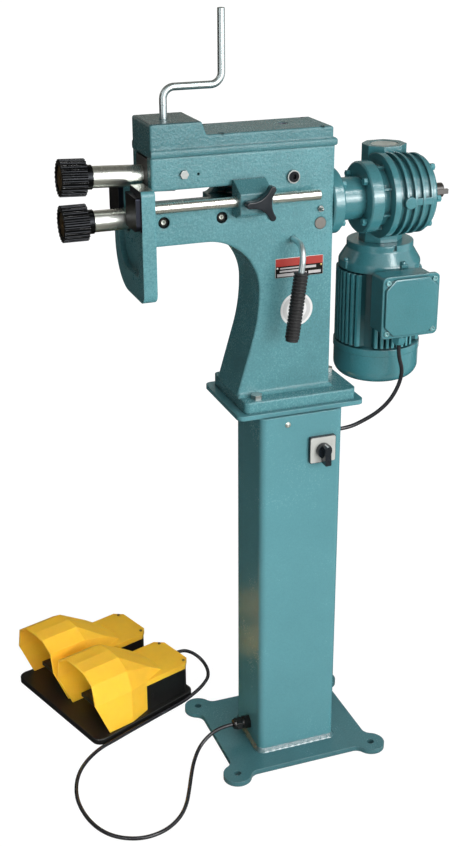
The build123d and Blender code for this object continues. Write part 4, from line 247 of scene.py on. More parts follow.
def foot_point(along, across, height):
    """A point of the foot switch, along its depth and across its width."""
    return FOOT_PLACE + Vector((along * math.cos(FOOT_YAW) - across * math.sin(FOOT_YAW),
                                along * math.sin(FOOT_YAW) + across * math.cos(FOOT_YAW), height))


# What a user may change

def tint(name, description, default):
    """A colour."""
    return FloatVectorProperty(name=name, description=description, default=default, size=3, min=0, max=1,
                               subtype="COLOR")


def span(name, description, default):
    """A length."""
    return FloatProperty(name=name, description=description, default=default, min=0, precision=4, unit="LENGTH")


def angle_of(name, description, degrees):
    """An angle."""
    return FloatProperty(name=name, description=description, default=math.radians(degrees), subtype="ANGLE")


def power(name, description, default):
    """A lamp's power."""
    return FloatProperty(name=name, description=description, default=default, min=0, unit="POWER")


class SwageFinishes(bpy.types.PropertyGroup):
    """Colours of the paints, metals and plastics."""
    casting: tint("Casting Paint", "Hammered paint on the body, cover and gauge", (0.10, 0.29, 0.32))
    pedestal: tint("Pedestal Paint", "Satin paint on the column and plates", (0.10, 0.29, 0.325))
    drive: tint("Drive Paint", "Paint on the gearbox and motor", (0.058, 0.236, 0.266))
    steel: tint("Bright Steel", "Ground and polished steel", (0.715, 0.740, 0.690))
    drawn_steel: tint("Drawn Steel", "Crank, lever rod and key", (0.64, 0.725, 0.735))
    dark_steel: tint("Dark Steel", "Machined steel with an oil film", (0.17, 0.165, 0.16))
    zinc: tint("Zinc", "Plated screws and bolts", (0.36, 0.38, 0.37))
    black_oxide: tint("Black Oxide", "Blackened rolls and screws", (0.018, 0.019, 0.021))
    lid_screw: tint("Lid Screw", "Screw heads of the terminal box's lid", (0.30, 0.55, 0.57))
    bead_highlight: tint("Bead Highlight", "Painted highlight on the weld bead's front", (0.62, 0.74, 0.76))
    bronze: tint("Bronze", "Bushes, nut and worm wheel", (0.50, 0.33, 0.14))
    iron: tint("Bare Iron", "Unpainted castings inside the body", (0.13, 0.13, 0.13))
    black_plastic: tint("Black Plastic", "Housings and glands", (0.009, 0.0088, 0.0082))
    knob_black: tint("Knob Black", "Clamp knob and rotary switch", (0.010, 0.0150, 0.0205))
    rubber: tint("Rubber", "Lever grip", (0.016, 0.016, 0.017))
    cable: tint("Cable Sheath", "Sheath of both cables", (0.018, 0.018, 0.022))
    guard: tint("Guard Yellow", "Moulded guards of the foot switch", (0.97, 0.535, 0.042))
    silver: tint("Silver Plate", "Face of the rotary switch", (0.55, 0.56, 0.53))
    blued_steel: tint("Blued Steel", "Facing plates of the gauge", (0.028, 0.031, 0.042))
    plug_metal: tint("Plug Metal", "Dull face of the round side plug", (0.21, 0.20, 0.185))
    cap_grey: tint("Cap Grey", "Cap on top of the gearbox", (0.78, 0.87, 0.87))
    oil_plug: tint("Oil Plug", "Plug of the oil port on the cover", (0.10, 0.12, 0.17))
    brass: tint("Brass", "One rivet of the nameplate and the lid screws", (0.78, 0.57, 0.22))
    aluminium: tint("Aluminium", "Bare rim of the nameplate", (0.74, 0.74, 0.72))
    plate_black: tint("Plate Black", "Lower field of the blank nameplate", (0.020, 0.019, 0.018))
    plate_red: tint("Plate Red", "Enamelled upper band of the blank nameplate", (0.42, 0.032, 0.022))
    plate_print: tint("Plate Print", "Bare strips of the blank nameplate", (0.52, 0.50, 0.50))
    label_white: tint("Label White", "Round blank label", (0.78, 0.78, 0.77))


class SwageSizes(bpy.types.PropertyGroup):
    """Sizes of the pieces that are added to the solids."""
    pedal_cable: span("Pedal Cable", "Diameter of the foot switch's cable", 0.007)
    motor_cable: span("Motor Cable", "Diameter of the motor's cable", 0.007)
    plate_width: span("Plate Width", "Width of the blank nameplate", 0.0855)
    plate_height: span("Plate Height", "Height of the blank nameplate", 0.033)
    label_radius: span("Label Radius", "Radius of the round blank label", 0.0289)
    panel_rim: span("Panel Rim", "Distance from the lid's edge to its raised panel", 0.0045)
    panel_cut: span("Panel Cut", "Length of the raised panel's cut corners", 0.0170)
    bead_leg: span("Bead Leg", "Width of the weld bead round the column's foot", 0.0050)
    bead_rise: span("Bead Rise", "Height of the weld bead round the column's foot", 0.0080)
    bead_pitch: span("Bead Pitch", "Distance between ripples of the weld bead", 0.0030)
    spring_turns: IntProperty(name="Spring Turns", description="Turns of each return spring", default=8, min=3)


class SwageStage(bpy.types.PropertyGroup):
    """Camera and light."""
    camera_place: FloatVectorProperty(name="Camera Place", description="Where the camera stands", size=3,
                                      default=(-0.8061, -1.9073, 1.5143), subtype="TRANSLATION", unit="LENGTH")
    camera_pitch: angle_of("Camera Pitch", "Downward angle of the view", 22.93)
    camera_yaw: angle_of("Camera Yaw", "Turn of the view to the right", 20.16)
    camera_roll: angle_of("Camera Roll", "Roll of the view", -0.27)
    lens: FloatProperty(name="Lens", description="Focal length on a 36 mm long side, in millimetres",
                        default=54.765, unit="CAMERA")
    key_power: power("Key Power", "Power of the large front light", 69)
    strip_power: power("Strip Power", "Power of the narrow front light", 19)
    gloss_power: power("Gloss Power", "Power of the light that only reflections see", 14)
    fill_power: power("Fill Power", "Power of the light on the right", 16)
    top_power: power("Top Power", "Power of the light above", 8)
    foot_power: power("Foot Power", "Power of the light on the foot switch", 0.45)
    guard_power: power("Guard Power", "Power of the light into the guards", 0.17)
    rear_power: power("Rear Power", "Power of the light behind", 36)


# Shader helpers

def feed(tree, target, value):
    """Sets an input to a value, or wires another node's output into it."""
    if isinstance(value, bpy.types.NodeSocket):
        tree.links.new(value, target)
    else:
        target.default_value = value


def shader(tree, kind, inputs=None, **settings):
    """Adds a node, sets its own settings, then feeds its inputs."""
    node = tree.nodes.new("ShaderNode" + kind)
    for key, value in settings.items():
        setattr(node, key, value)
    for key, value in (inputs or {}).items():
        feed(tree, node.inputs[key], value)
    return node


def calc(tree, operation, *values):
    """A sum or comparison of numbers and other nodes' outputs."""
    return shader(tree, "Math", dict(enumerate(values)), operation=operation).outputs[0]


def ranged(tree, source, low=0, high=1, start=0, end=1):
    """A value that runs from low to high as the source runs from start to end."""
    return shader(tree, "MapRange", {"Value": source, "From Min": start, "From Max": end,
                                     "To Min": low, "To Max": high}).outputs["Result"]


def colour_mix(tree, factor, first, second):
    """Mixes two colours, each of three numbers or another node's output."""
    first, second = (value if isinstance(value, bpy.types.NodeSocket) else (*value, 1)
                     for value in (first, second))
    return shader(tree, "Mix", {"Factor": factor, 6: first, 7: second}, data_type="RGBA").outputs[2]


def surface_point(tree):
    """The place on the surface, in metres."""
    return shader(tree, "TexCoord").outputs["Object"]


def noise(tree, place, scale, detail, roughness, distortion=0):
    """Noise about a middle of a half."""
    return shader(tree, "TexNoise", {"Vector": place, "Scale": scale, "Detail": detail, "Roughness": roughness,
                                     "Distortion": distortion}).outputs["Fac"]


def pits(tree, place, scale, smoothness=1):
    """Rounded pits side by side."""
    return shader(tree, "TexVoronoi", {"Vector": place, "Scale": scale, "Smoothness": smoothness},
                  feature="SMOOTH_F1").outputs["Distance"]


# Shader groups

def new_group(name, inputs, outputs):
    """An empty shader group: its tree, what comes in and what goes out."""
    tree = bpy.data.node_groups.new(name, "ShaderNodeTree")
    for label, kind, value in inputs:
        socket = tree.interface.new_socket(label, in_out="INPUT", socket_type="NodeSocket" + kind)
        socket.default_value = value
    for label, kind in outputs:
        tree.interface.new_socket(label, in_out="OUTPUT", socket_type="NodeSocket" + kind)
    return tree, tree.nodes.new("NodeGroupInput").outputs, tree.nodes.new("NodeGroupOutput").inputs


def cast_skin_group():
    """Dimples, lumps and grain of paint on a casting: a height and a tone."""
    tree, entry, leave = new_group("Cast Skin", [("Grain", "Float", 400), ("Lumps", "Float", 90)],
                                   [("Height", "Float"), ("Tone", "Float")])
    place = surface_point(tree)
    grain = noise(tree, place, entry["Grain"], 3, 0.55)
    dimples = pits(tree, place, entry["Grain"], 0.6)
    lumps = noise(tree, place, entry["Lumps"], 2, 0.5, 0.15)
    broad = noise(tree, place, 9, 3, 0.6)
    pitted = calc(tree, "MULTIPLY_ADD", dimples, 0.5, grain)
    feed(tree, leave["Height"], calc(tree, "MULTIPLY_ADD", pitted, 0.45, lumps))
    clouded = calc(tree, "MULTIPLY_ADD", grain, 0.55, calc(tree, "MULTIPLY", broad, 0.45))
    feed(tree, leave["Tone"], ranged(tree, clouded, start=0.32, end=0.68))
    return tree


def rounded_edge_group():
    """Rounds sharp edges in the shading and marks them for rubbed wear and a painted highlight."""
    tree, entry, leave = new_group("Rounded Edge", [("Radius", "Float", 0.0012)],
                                   [("Normal", "Vector"), ("Edge", "Float")])
    rounded = shader(tree, "Bevel", {"Radius": entry["Radius"]}, samples=6).outputs["Normal"]
    plain = shader(tree, "NewGeometry").outputs["Normal"]
    turn = shader(tree, "VectorMath", {0: rounded, 1: plain}, operation="DOT_PRODUCT").outputs["Value"]
    found = ranged(tree, turn, start=0.985, end=0.86)
    broken = ranged(tree, noise(tree, surface_point(tree), 70, 4, 0.65), start=0.40, end=0.62)
    feed(tree, leave["Normal"], rounded)
    feed(tree, leave["Edge"], calc(tree, "MULTIPLY", found, broken))
    return tree


def grime_and_shade_group():
    """Oil and dust in corners, with painted shade: darker where ambient occlusion finds a corner."""
    tree, entry, leave = new_group("Grime", [("Reach", "Float", 0.012)], [("Mask", "Float")])
    corner = shader(tree, "AmbientOcclusion", {"Distance": entry["Reach"]}, samples=6).outputs["AO"]
    dark = ranged(tree, corner, start=0.85, end=0.25)
    patch = ranged(tree, noise(tree, surface_point(tree), 28, 5, 0.6), 0.35, 1, 0.30, 0.65)
    feed(tree, leave["Mask"], calc(tree, "MULTIPLY", dark, patch))
    return tree


def tool_marks_group():
    """Fine lines that turning, drawing or brushing leaves, stretched along one direction."""
    tree, entry, leave = new_group("Tool Marks", [("Stretch", "Vector", (900, 20, 20))],
                                   [("Height", "Float"), ("Tone", "Float")])
    place = surface_point(tree)
    drawn = shader(tree, "VectorMath", {0: place, 1: entry["Stretch"]}, operation="MULTIPLY").outputs[0]
    lines = noise(tree, drawn, 1, 3, 0.7)
    smeared = calc(tree, "MULTIPLY_ADD", lines, 0.5, noise(tree, place, 14, 4, 0.6))
    feed(tree, leave["Height"], lines)
    feed(tree, leave["Tone"], ranged(tree, smeared, start=0.5, end=1))
    return tree


def moulded_grain_group():
    """Fine grain of moulded plastic or rubber."""
    tree, entry, leave = new_group("Moulded Grain", [("Fineness", "Float", 1400)],
                                   [("Height", "Float"), ("Tone", "Float")])
    place = surface_point(tree)
    feed(tree, leave["Height"], pits(tree, place, entry["Fineness"]))
    feed(tree, leave["Tone"], ranged(tree, noise(tree, place, 22, 5, 0.65), start=0.3, end=0.7))
    return tree


GROUP_MAKERS = {
    "Cast Skin": cast_skin_group,
    "Rounded Edge": rounded_edge_group,
    "Grime": grime_and_shade_group,
    "Tool Marks": tool_marks_group,
    "Moulded Grain": moulded_grain_group,
}


def placed(tree, name, inputs):
    """Puts a shared group into a material, building the group at its first use."""
    made = bpy.data.node_groups.get(name) or GROUP_MAKERS[name]()
    return shader(tree, "Group", inputs, node_tree=made).outputs


# Finishes

def scaled(colour, share):
    return tuple(min(1.0, share * channel) for channel in colour)


def shifted(colour, share, lift):
    return tuple(share * channel + lift for channel in colour)


def new_material(name):
    """A material with an empty Principled shader."""
    made = bpy.data.materials.new(name)
    made.use_nodes = True
    tree = made.node_tree
    return made, tree, tree.nodes["Principled BSDF"].inputs


def skinned(name, group, inputs, tones, worn_and_lit, rub_and_highlight, rough_ends, strength, depth, edge_radius, soil_and_shade=None):
    """A finish with a patterned colour, rubbed edges with a painted highlight, soil and painted shade in its
    corners and a fine relief.
    """
    made, tree, body = new_material(name)
    skin = placed(tree, group, inputs)
    edge = placed(tree, "Rounded Edge", {"Radius": edge_radius})
    colour = colour_mix(tree, skin["Tone"], *tones)
    # Edges lighten towards a pale copy of the colour: rubbed wear, and a painted highlight.
    colour = colour_mix(tree, ranged(tree, edge["Edge"], 0, rub_and_highlight), colour, worn_and_lit)
    # Corners darken towards a dark copy of the colour: grime, and painted shade where shade would fall.
    if soil_and_shade:
        reach, share, dirt_and_shade = soil_and_shade
        corner = placed(tree, "Grime", {"Reach": reach})["Mask"]
        colour = colour_mix(tree, ranged(tree, corner, 0, share), colour, dirt_and_shade)
    relief = shader(tree, "Bump", {"Strength": strength, "Distance": depth, "Height": skin["Height"],
                                   "Normal": edge["Normal"]})
    feed(tree, body["Base Color"], colour)
    feed(tree, body["Roughness"], ranged(tree, skin["Tone"], *rough_ends))
    feed(tree, body["Normal"], relief.outputs["Normal"])
    return made, body


def paint(name, colour, roughness, lumps, depth, edge_radius, rub_and_highlight, mottle, level=0.5, soil_and_shade=0.55):
    """Machine paint over metal, with lumps, rubbed edges lightened as wear and painted highlight, and corners
    darkened as grime and painted shade.
    """
    made, body = skinned(name, "Cast Skin", {"Grain": PAINT_GRAIN, "Lumps": lumps},
                         tones=(scaled(colour, 1 - mottle), scaled(colour, 1 + mottle)),
                         worn_and_lit=shifted(colour, 0.55, 0.18), rub_and_highlight=rub_and_highlight,
                         rough_ends=(roughness - 0.05, roughness + 0.07),
                         strength=0.6, depth=depth, edge_radius=edge_radius,
                         soil_and_shade=(0.014, soil_and_shade, shifted(colour, 0.18, 0.003)))
    body["Specular IOR Level"].default_value = level
    return made


def metal(name, colour, roughness, marks, depth, edge_radius=0.0004, rub_and_highlight=0.3, stain_and_shade=0.4):
    """Machined, drawn or blackened metal with tool marks, edges lightened as wear and painted highlight, and
    corners darkened as stain and painted shade.
    """
    made, body = skinned(name, "Tool Marks", {"Stretch": marks},
                         tones=(scaled(colour, 0.86), scaled(colour, 1.06)),
                         worn_and_lit=tuple(min(0.75, channel) for channel in shifted(colour, 0.35, 0.45)), rub_and_highlight=rub_and_highlight,
                         rough_ends=(roughness + 0.06, roughness - 0.05),
                         strength=0.5, depth=depth, edge_radius=edge_radius,
                         soil_and_shade=(0.008, stain_and_shade, shifted(colour, 0.25, 0.004)))
    body["Metallic"].default_value = 1
    return made


def plating(name, colour):
    """Zinc plating on a screw, a bolt or a nut."""
    return metal(name, colour, roughness=0.32, marks=EVEN_MARKS, depth=0.00005)


def plastic(name, colour, roughness, fineness, depth, edge_radius=0.0008, rub_and_highlight=0.25, level=0.5):
    """Moulded plastic or rubber with a fine grain and rubbed edges, lightened as wear and painted highlight."""
    made, body = skinned(name, "Moulded Grain", {"Fineness": fineness},
                         tones=(scaled(colour, 0.93), scaled(colour, 1.05)),
                         worn_and_lit=shifted(colour, 0.8, 0.06), rub_and_highlight=rub_and_highlight,
                         rough_ends=(roughness - 0.04, roughness + 0.06),
                         strength=0.4, depth=depth, edge_radius=edge_radius)
    body["Specular IOR Level"].default_value = level
    return made


def axis_value(tree, axis):
    """One coordinate of the surface, in metres."""
    return shader(tree, "SeparateXYZ", {0: surface_point(tree)}).outputs[axis]


def beyond(tree, axis, limit):
    """1 where a coordinate is above a limit."""
    return calc(tree, "GREATER_THAN", axis_value(tree, axis), limit)


def within(tree, axis, centre, reach):
    """1 where a coordinate is within a reach of a centre."""
    gap = calc(tree, "SUBTRACT", axis_value(tree, axis), centre)
    return calc(tree, "LESS_THAN", calc(tree, "ABSOLUTE", gap), reach)


def inverted(tree, mask):
    """1 where a mask is 0."""
    return calc(tree, "SUBTRACT", 1, mask)


def near_axis(tree, across, point, radius):
    """1 within a radius of a line through a point, measured on the two axes where across is 1."""
    flat = shader(tree, "VectorMath", {0: surface_point(tree), 1: across}, operation="MULTIPLY").outputs[0]
    gap = shader(tree, "VectorMath", {0: flat, 1: point}, operation="DISTANCE").outputs["Value"]
    return calc(tree, "LESS_THAN", gap, radius)


def near_line(tree, x, z, radius):
    """1 within a radius of a line along Y."""
    return near_axis(tree, (1, 0, 1), (x, 0, z), radius)


def near_post(tree, x, y, radius):
    """1 within a radius of an upright line."""
    return near_axis(tree, (1, 1, 0), (x, y, 0), radius)


def near_set_screws(tree, radius):
    """1 within a radius of either bush set screw."""
    return calc(tree, "MAXIMUM", *(near_line(tree, x, ROLL_AXIS, radius) for x in SET_SCREWS))


def recolour(made, mask_of, colour):
    """Lays a second colour over part of a finish, where a mask from its own tree is 1."""
    tree = made.node_tree
    target = tree.nodes["Principled BSDF"].inputs["Base Color"]
    feed(tree, target, colour_mix(tree, mask_of(tree), target.links[0].from_socket, colour))


def bare_metal(made, mask_of):
    """Makes a finish metal where a mask from its own tree is 1."""
    tree = made.node_tree
    feed(tree, tree.nodes["Principled BSDF"].inputs["Metallic"], mask_of(tree))


# Mesh helpers

def finish_nodes(material, *names):
    """Gives a finish to CAD nodes."""
    for name in names:
        slots = NODES[name].data.materials
        slots.clear()
        slots.append(material)


def new_piece(name, mesh, material, body="frame"):
    """Links a mesh or curve as a piece that rides on a body."""
    piece = bpy.data.objects.new(name, mesh)
    bpy.context.scene.collection.objects.link(piece)
    mesh.materials.append(material)
    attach(piece, body)
    return piece


def mesh_of(build, smooth=30):
    """Runs a bmesh recipe and returns its mesh, smooth below an angle."""
    mesh = bpy.data.meshes.new("mesh")
    work = bmesh.new()
    build(work)
    bmesh.ops.remove_doubles(work, verts=work.verts, dist=1e-6)
    bmesh.ops.recalc_face_normals(work, faces=work.faces)
    work.to_mesh(mesh)
    work.free()
    mesh.shade_smooth()
    mesh.set_sharp_from_angle(angle=math.radians(smooth))
    return mesh


def skin_rings(work, rings, closed_bottom=True, closed_top=True):
    """Joins rings of vertices with quads and closes the ends that are asked for."""
    for lower, upper in zip(rings, rings[1:]):
        for i in range(len(lower)):
            j = (i + 1) % len(lower)
            work.faces.new((lower[i], lower[j], upper[j], upper[i]))
    if closed_bottom:
        work.faces.new(list(reversed(rings[0])))
    if closed_top:
        work.faces.new(rings[-1])


def round_point(radius, angle, height):
    """A point at a radius and an angle about Z."""
    return Vector((radius * math.cos(angle), radius * math.sin(angle), height))


def full_turn(count):
    """Even angles of a full turn."""
    return [2 * math.pi * i / count for i in range(count)]


def turned_profile(work, profile, place, segments, closed_top=True):
    """Turns (radius, height) points about a placed Z axis, closed below and, if asked, above."""
    rings = [[work.verts.new(place @ round_point(radius, angle, height)) for angle in full_turn(segments)]
             for radius, height in profile]
    skin_rings(work, rings, closed_top=closed_top)


def rounded_outline(width, height, radius, steps=6):
    """Points round a rectangle with rounded corners, anticlockwise."""
    points = []
    for corner in range(4):
        side_x = 1 if corner in (0, 3) else -1
        side_y = 1 if corner in (0, 1) else -1
        middle = Vector((side_x * (width / 2 - radius), side_y * (height / 2 - radius), 0))
        for i in range(steps + 1):
            points.append(middle + round_point(radius, math.pi / 2 * (corner + i / steps), 0))
    return points


def slab(work, place, width, height, radius, low, high, bevel):
    """A rounded plate with a bevelled upper rim."""
    rings = []
    for inset, level in ((0, low), (0, high - bevel), (bevel * 0.4, high - bevel * 0.4), (bevel, high)):
        line = rounded_outline(width - 2 * inset, height - 2 * inset, max(radius - inset, bevel / 4))
        rings.append([work.verts.new(place @ (point + Vector((0, 0, level)))) for point in line])
    skin_rings(work, rings)


def screw_head(work, place, radius, height, socket):
    """A round head with a softened rim and a socket for its key."""
    turned_profile(work, [(radius, 0), (radius, 0.7 * height), (0.93 * radius, 0.9 * height),
                          (0.82 * radius, height), (socket, height)], place, HEAD_SEGMENTS, closed_top=False)
    wedge = math.pi / SOCKET_SIDES
    rings = []
    for size, level in ((socket, height), (0.92 * socket, height - 0.2 * socket), (0.9 * socket, 0.35 * height)):
        ring = []
        for angle in full_turn(HEAD_SEGMENTS):
            flat = math.cos(wedge) / math.cos((angle % (2 * wedge)) - wedge)
            reach = size if level == height else size * flat
            ring.append(work.verts.new(place @ round_point(reach, angle, level)))
        rings.append(ring)
    skin_rings(work, rings, closed_bottom=False)


def facing(origin, outward):
    """A frame at a point whose Z axis points outward."""
    return Matrix.Translation(origin) @ Vector(outward).to_track_quat("Z", "Y").to_matrix().to_4x4()


def moved(place, x, y, z):
    """A placed frame, moved within itself."""
    return place @ Matrix.Translation((x, y, z))


def node_box(name):
    """Lowest corner, highest corner and middle of a CAD node."""
    low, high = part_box(name)
    return low, high, (low + high) / 2


# Operators

class SWAGE_OT_paint_castings(bpy.types.Operator):
    """Hammered paint on the body, its cover, the gauge and its bracket"""
    bl_idname = "swage.paint_castings"
    bl_label = "Paint Castings"

    def execute(self, context):
        look = context.scene.swage_finishes
        body = paint("hammered_paint", look.casting, roughness=0.25, lumps=205, depth=0.0008,
                     edge_radius=0.0055, rub_and_highlight=0.26, mottle=0.22)
        # Painted shade: the walls of the set screws' counterbores are painted near black.
        recolour(body, lambda tree: near_set_screws(tree, SCREW_RECESS_SHADE), scaled(look.casting, 0.08))
        finish_nodes(body, "body_casting")
        # Painted shade: the gauge bracket gets a darker copy of the casting paint.
        bracket = paint("bracket_paint", scaled(look.casting, 0.76), roughness=0.24, lumps=215, depth=0.0005,
                        edge_radius=0.0026, rub_and_highlight=0.45, mottle=0.22)
        finish_nodes(bracket, "gauge_bracket")
        # Painted shade: the cover gets a darker copy of the casting paint.
        cover = paint("cover_paint", scaled(look.casting, 0.78), roughness=0.24, lumps=215, depth=0.0010,
                      edge_radius=0.0045, rub_and_highlight=0.65, mottle=0.22, level=0.40)
        # Painted shade: the top of the cover's raised block is painted darker.
        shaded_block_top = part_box("top_cover")[1].z - BLOCK_TOP_SHADE_SKIN
        recolour(cover, lambda tree: beyond(tree, "Z", shaded_block_top), scaled(look.casting, 0.40))
        finish_nodes(cover, "top_cover")
        self.paint_gauge(look)
        return {"FINISHED"}

    def paint_gauge(self, look):
        """The gauge, with a dark seat round its facing plates and a bare ground top."""
        gauge = paint("gauge_paint", scaled(look.casting, 1.08), roughness=0.27, lumps=215, depth=0.0006,
                      edge_radius=0.0026, rub_and_highlight=0.35, mottle=0.22)
        low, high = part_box("gauge_casting")
        seat_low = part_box("gauge_faces")[0].z

        def seat(tree):
            left_face = inverted(tree, beyond(tree, "X", low.x + GAUGE_SEAT_SKIN))
            return calc(tree, "MULTIPLY", left_face, beyond(tree, "Z", seat_low))

        def crown(tree):
            return beyond(tree, "Z", high.z - GAUGE_CROWN_SKIN)
        recolour(gauge, seat, look.blued_steel)
        recolour(gauge, crown, scaled(look.steel, 0.8))
        bare_metal(gauge, crown)
        finish_nodes(gauge, "gauge_casting")


class SWAGE_OT_paint_pedestal(bpy.types.Operator):
    """Satin paint on the column and its two plates"""
    bl_idname = "swage.paint_pedestal"
    bl_label = "Paint Pedestal"

    def execute(self, context):
        colour = context.scene.swage_finishes.pedestal
        satin = paint("satin_paint", colour, roughness=0.22, lumps=60, depth=0.00012,
                      edge_radius=0.0018, rub_and_highlight=0.25, mottle=0.08)
        finish_nodes(satin, "pedestal_column", "top_plate")
        # The base plate gets a darker copy of the pedestal paint.
        scuffed = paint("scuffed_paint", scaled(colour, 0.62), roughness=0.22, lumps=60, depth=0.00020,
                        edge_radius=0.0018, rub_and_highlight=0.40, mottle=0.16)
        finish_nodes(scuffed, "base_plate")
        return {"FINISHED"}


class SWAGE_OT_paint_drive(bpy.types.Operator):
    """Smooth paint on the gearbox, its adapter, the motor and the terminal box"""
    bl_idname = "swage.paint_drive"
    bl_label = "Paint Drive"

    def execute(self, context):
        colour = context.scene.swage_finishes.drive
        # The drive's strong corner darkening paints shade into its gaps as well as grime.
        enamel = paint("drive_enamel", colour, roughness=0.20, lumps=130, depth=0.00030,
                       edge_radius=0.0022, rub_and_highlight=0.40, mottle=0.12, level=1.0, soil_and_shade=0.85)
        finish_nodes(enamel, "gearbox_adapter", "gearbox_housing", "gearbox_cover", "motor_bell", "motor_cowl",
                     "terminal_box", "terminal_lid")
        finned = paint("fin_enamel", scaled(colour, 1.25), roughness=0.20, lumps=130, depth=0.00030,
                       edge_radius=0.0022, rub_and_highlight=0.50, mottle=0.12, level=0.6, soil_and_shade=0.85)
        # Painted shade: between the fins, near the core, the paint darkens.
        low, high, middle = node_box("motor_frame")
        fin_shade_root = (high.x - low.x) / 2 - FIN_SHADE_DEPTH
        recolour(finned, lambda tree: near_post(tree, middle.x, middle.y, fin_shade_root), scaled(colour, 0.42))
        finish_nodes(finned, "motor_frame")
        return {"FINISHED"}


class SWAGE_OT_finish_steel(bpy.types.Operator):
    """Ground shafts, drawn rods, plated fasteners and the pieces inside"""
    bl_idname = "swage.finish_steel"
    bl_label = "Finish Steel"

    def execute(self, context):
        look = context.scene.swage_finishes
        ground = metal("ground_steel", look.steel, roughness=0.28, marks=(1500, 30, 30), depth=0.00001)
        drawn = metal("drawn_steel", look.drawn_steel, roughness=0.35, marks=(260, 260, 40), depth=0.00001)
        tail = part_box("gearbox_cover")[1].x - SHAFT_TAIL
        for bright in (ground, drawn):
            recolour(bright, lambda tree: beyond(tree, "X", tail), look.dark_steel)
        finish_nodes(ground, "upper_shaft", "lower_shaft", "gauge_rod")
        finish_nodes(drawn, "crank_screw", "lever_rod", "drive_key")
        self.plate_fasteners(look)
        dull = metal("plug_face", look.plug_metal, roughness=0.48, marks=(220, 40, 220), depth=0.00008)
        finish_nodes(dull, "side_plug")
        machined = metal("machined_steel", look.dark_steel, roughness=0.36, marks=(500, 60, 60), depth=0.00005)
        finish_nodes(machined, "upper_gear", "lower_gear", "shift_ring", "thrust_pad", "gearbox_bearings")
        blued = metal("blued_steel", look.blued_steel, roughness=0.34, marks=(60, 400, 60), depth=0.00004,
                      edge_radius=0.0006, rub_and_highlight=0.55, stain_and_shade=0.2)
        finish_nodes(blued, "gauge_faces")
        bronze = metal("bearing_bronze", look.bronze, roughness=0.32, marks=(700, 60, 60), depth=0.00004)
        finish_nodes(bronze, "rocker_bushes", "lower_bushes", "crank_nut", "worm_wheel")
        iron = metal("bare_iron", look.iron, roughness=0.5, marks=(240, 240, 240), depth=0.0003)
        finish_nodes(iron, "rocker_arm", "shift_fork", "stator_core", "motor_rotor")
        return {"FINISHED"}

    def plate_fasteners(self, look):
        """Plated bolts, painted over where they hold the drive, and plated screws whose set screws carry painted
        shade round a painted highlight.
        """
        finish_nodes(plating("plated_zinc", look.zinc), "grease_nipple")
        bolts = plating("bolt_plating", scaled(look.zinc, 1.4))
        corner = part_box("gearbox_adapter")[0]

        def on_drive(tree):
            right = beyond(tree, "X", corner.x - DRIVE_MARGIN)
            return calc(tree, "MULTIPLY", right, beyond(tree, "Z", corner.z - DRIVE_MARGIN))
        recolour(bolts, on_drive, scaled(look.drive, 1.15))
        bare_metal(bolts, lambda tree: inverted(tree, on_drive(tree)))
        finish_nodes(bolts, "hex_bolts")
        screws = plating("body_screw_plating", look.zinc)
        # Painted shade on the set screws' rims, and a painted highlight on their middles.
        recolour(screws, lambda tree: near_set_screws(tree, SCREW_RIM_SHADE), scaled(look.dark_steel, 0.15))
        recolour(screws, lambda tree: near_set_screws(tree, SCREW_POINT_HIGHLIGHT), look.steel)
        finish_nodes(screws, "body_screws")


class SWAGE_OT_finish_rolls(bpy.types.Operator):
    """Blackened fluted rolls with their end caps, the pivot screws and the socket screws"""
    bl_idname = "swage.finish_rolls"
    bl_label = "Finish Rolls"

    def execute(self, context):
        look = context.scene.swage_finishes
        black = metal("blackened_steel", look.black_oxide, roughness=0.24, marks=(200, 60, 60), depth=0.00006,
                      edge_radius=0.0006, rub_and_highlight=0.6, stain_and_shade=0.2)
        finish_nodes(black, "upper_roll", "lower_roll")
        cap = metal("roll_cap_bronze", scaled(look.bronze, 0.62), roughness=0.36, marks=(40, 420, 420),
                    depth=0.00004)
        finish_nodes(cap, "upper_roll_cap", "lower_roll_cap")
        nuts = plating("pivot_plating", look.zinc)
        pivot = node_box("pivot_screws")[2]
        recolour(nuts, lambda tree: near_line(tree, pivot.x, pivot.z, NUT_BORE), look.black_oxide)
        finish_nodes(nuts, "pivot_screws")
        heads = metal("socket_head_black", look.dark_steel, roughness=0.36, marks=EVEN_MARKS, depth=0.00005)
        motor_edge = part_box("motor_frame")[0].x
        recolour(heads, lambda tree: beyond(tree, "X", motor_edge), look.lid_screw)
        finish_nodes(heads, "socket_screws")
        return {"FINISHED"}


class SWAGE_OT_finish_plastics(bpy.types.Operator):
    """Knobs, grip, glands and the rotary switch"""
    bl_idname = "swage.finish_plastics"
    bl_label = "Finish Plastics"

    def execute(self, context):
        look = context.scene.swage_finishes
        glossy = plastic("glossy_black", look.knob_black, roughness=0.20, fineness=900, depth=0.00002)
        finish_nodes(glossy, "gauge_knob", "switch_knob", "switch_base")
        glands = plastic("gland_finish", look.black_plastic, roughness=0.20, fineness=900, depth=0.00002)
        motor_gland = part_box("terminal_box")[0].z - GLAND_DROP
        recolour(glands, lambda tree: beyond(tree, "Z", motor_gland), look.drive)
        finish_nodes(glands, "cable_glands")
        rubber = plastic("ribbed_rubber", look.rubber, roughness=0.48, fineness=1600, depth=0.00006)
        finish_nodes(rubber, "lever_grip")
        face = plastic("face_enamel", look.silver, roughness=0.30, fineness=900, depth=0.00002,
                       edge_radius=0.0010, rub_and_highlight=0.9)
        finish_nodes(face, "switch_face")
        return {"FINISHED"}


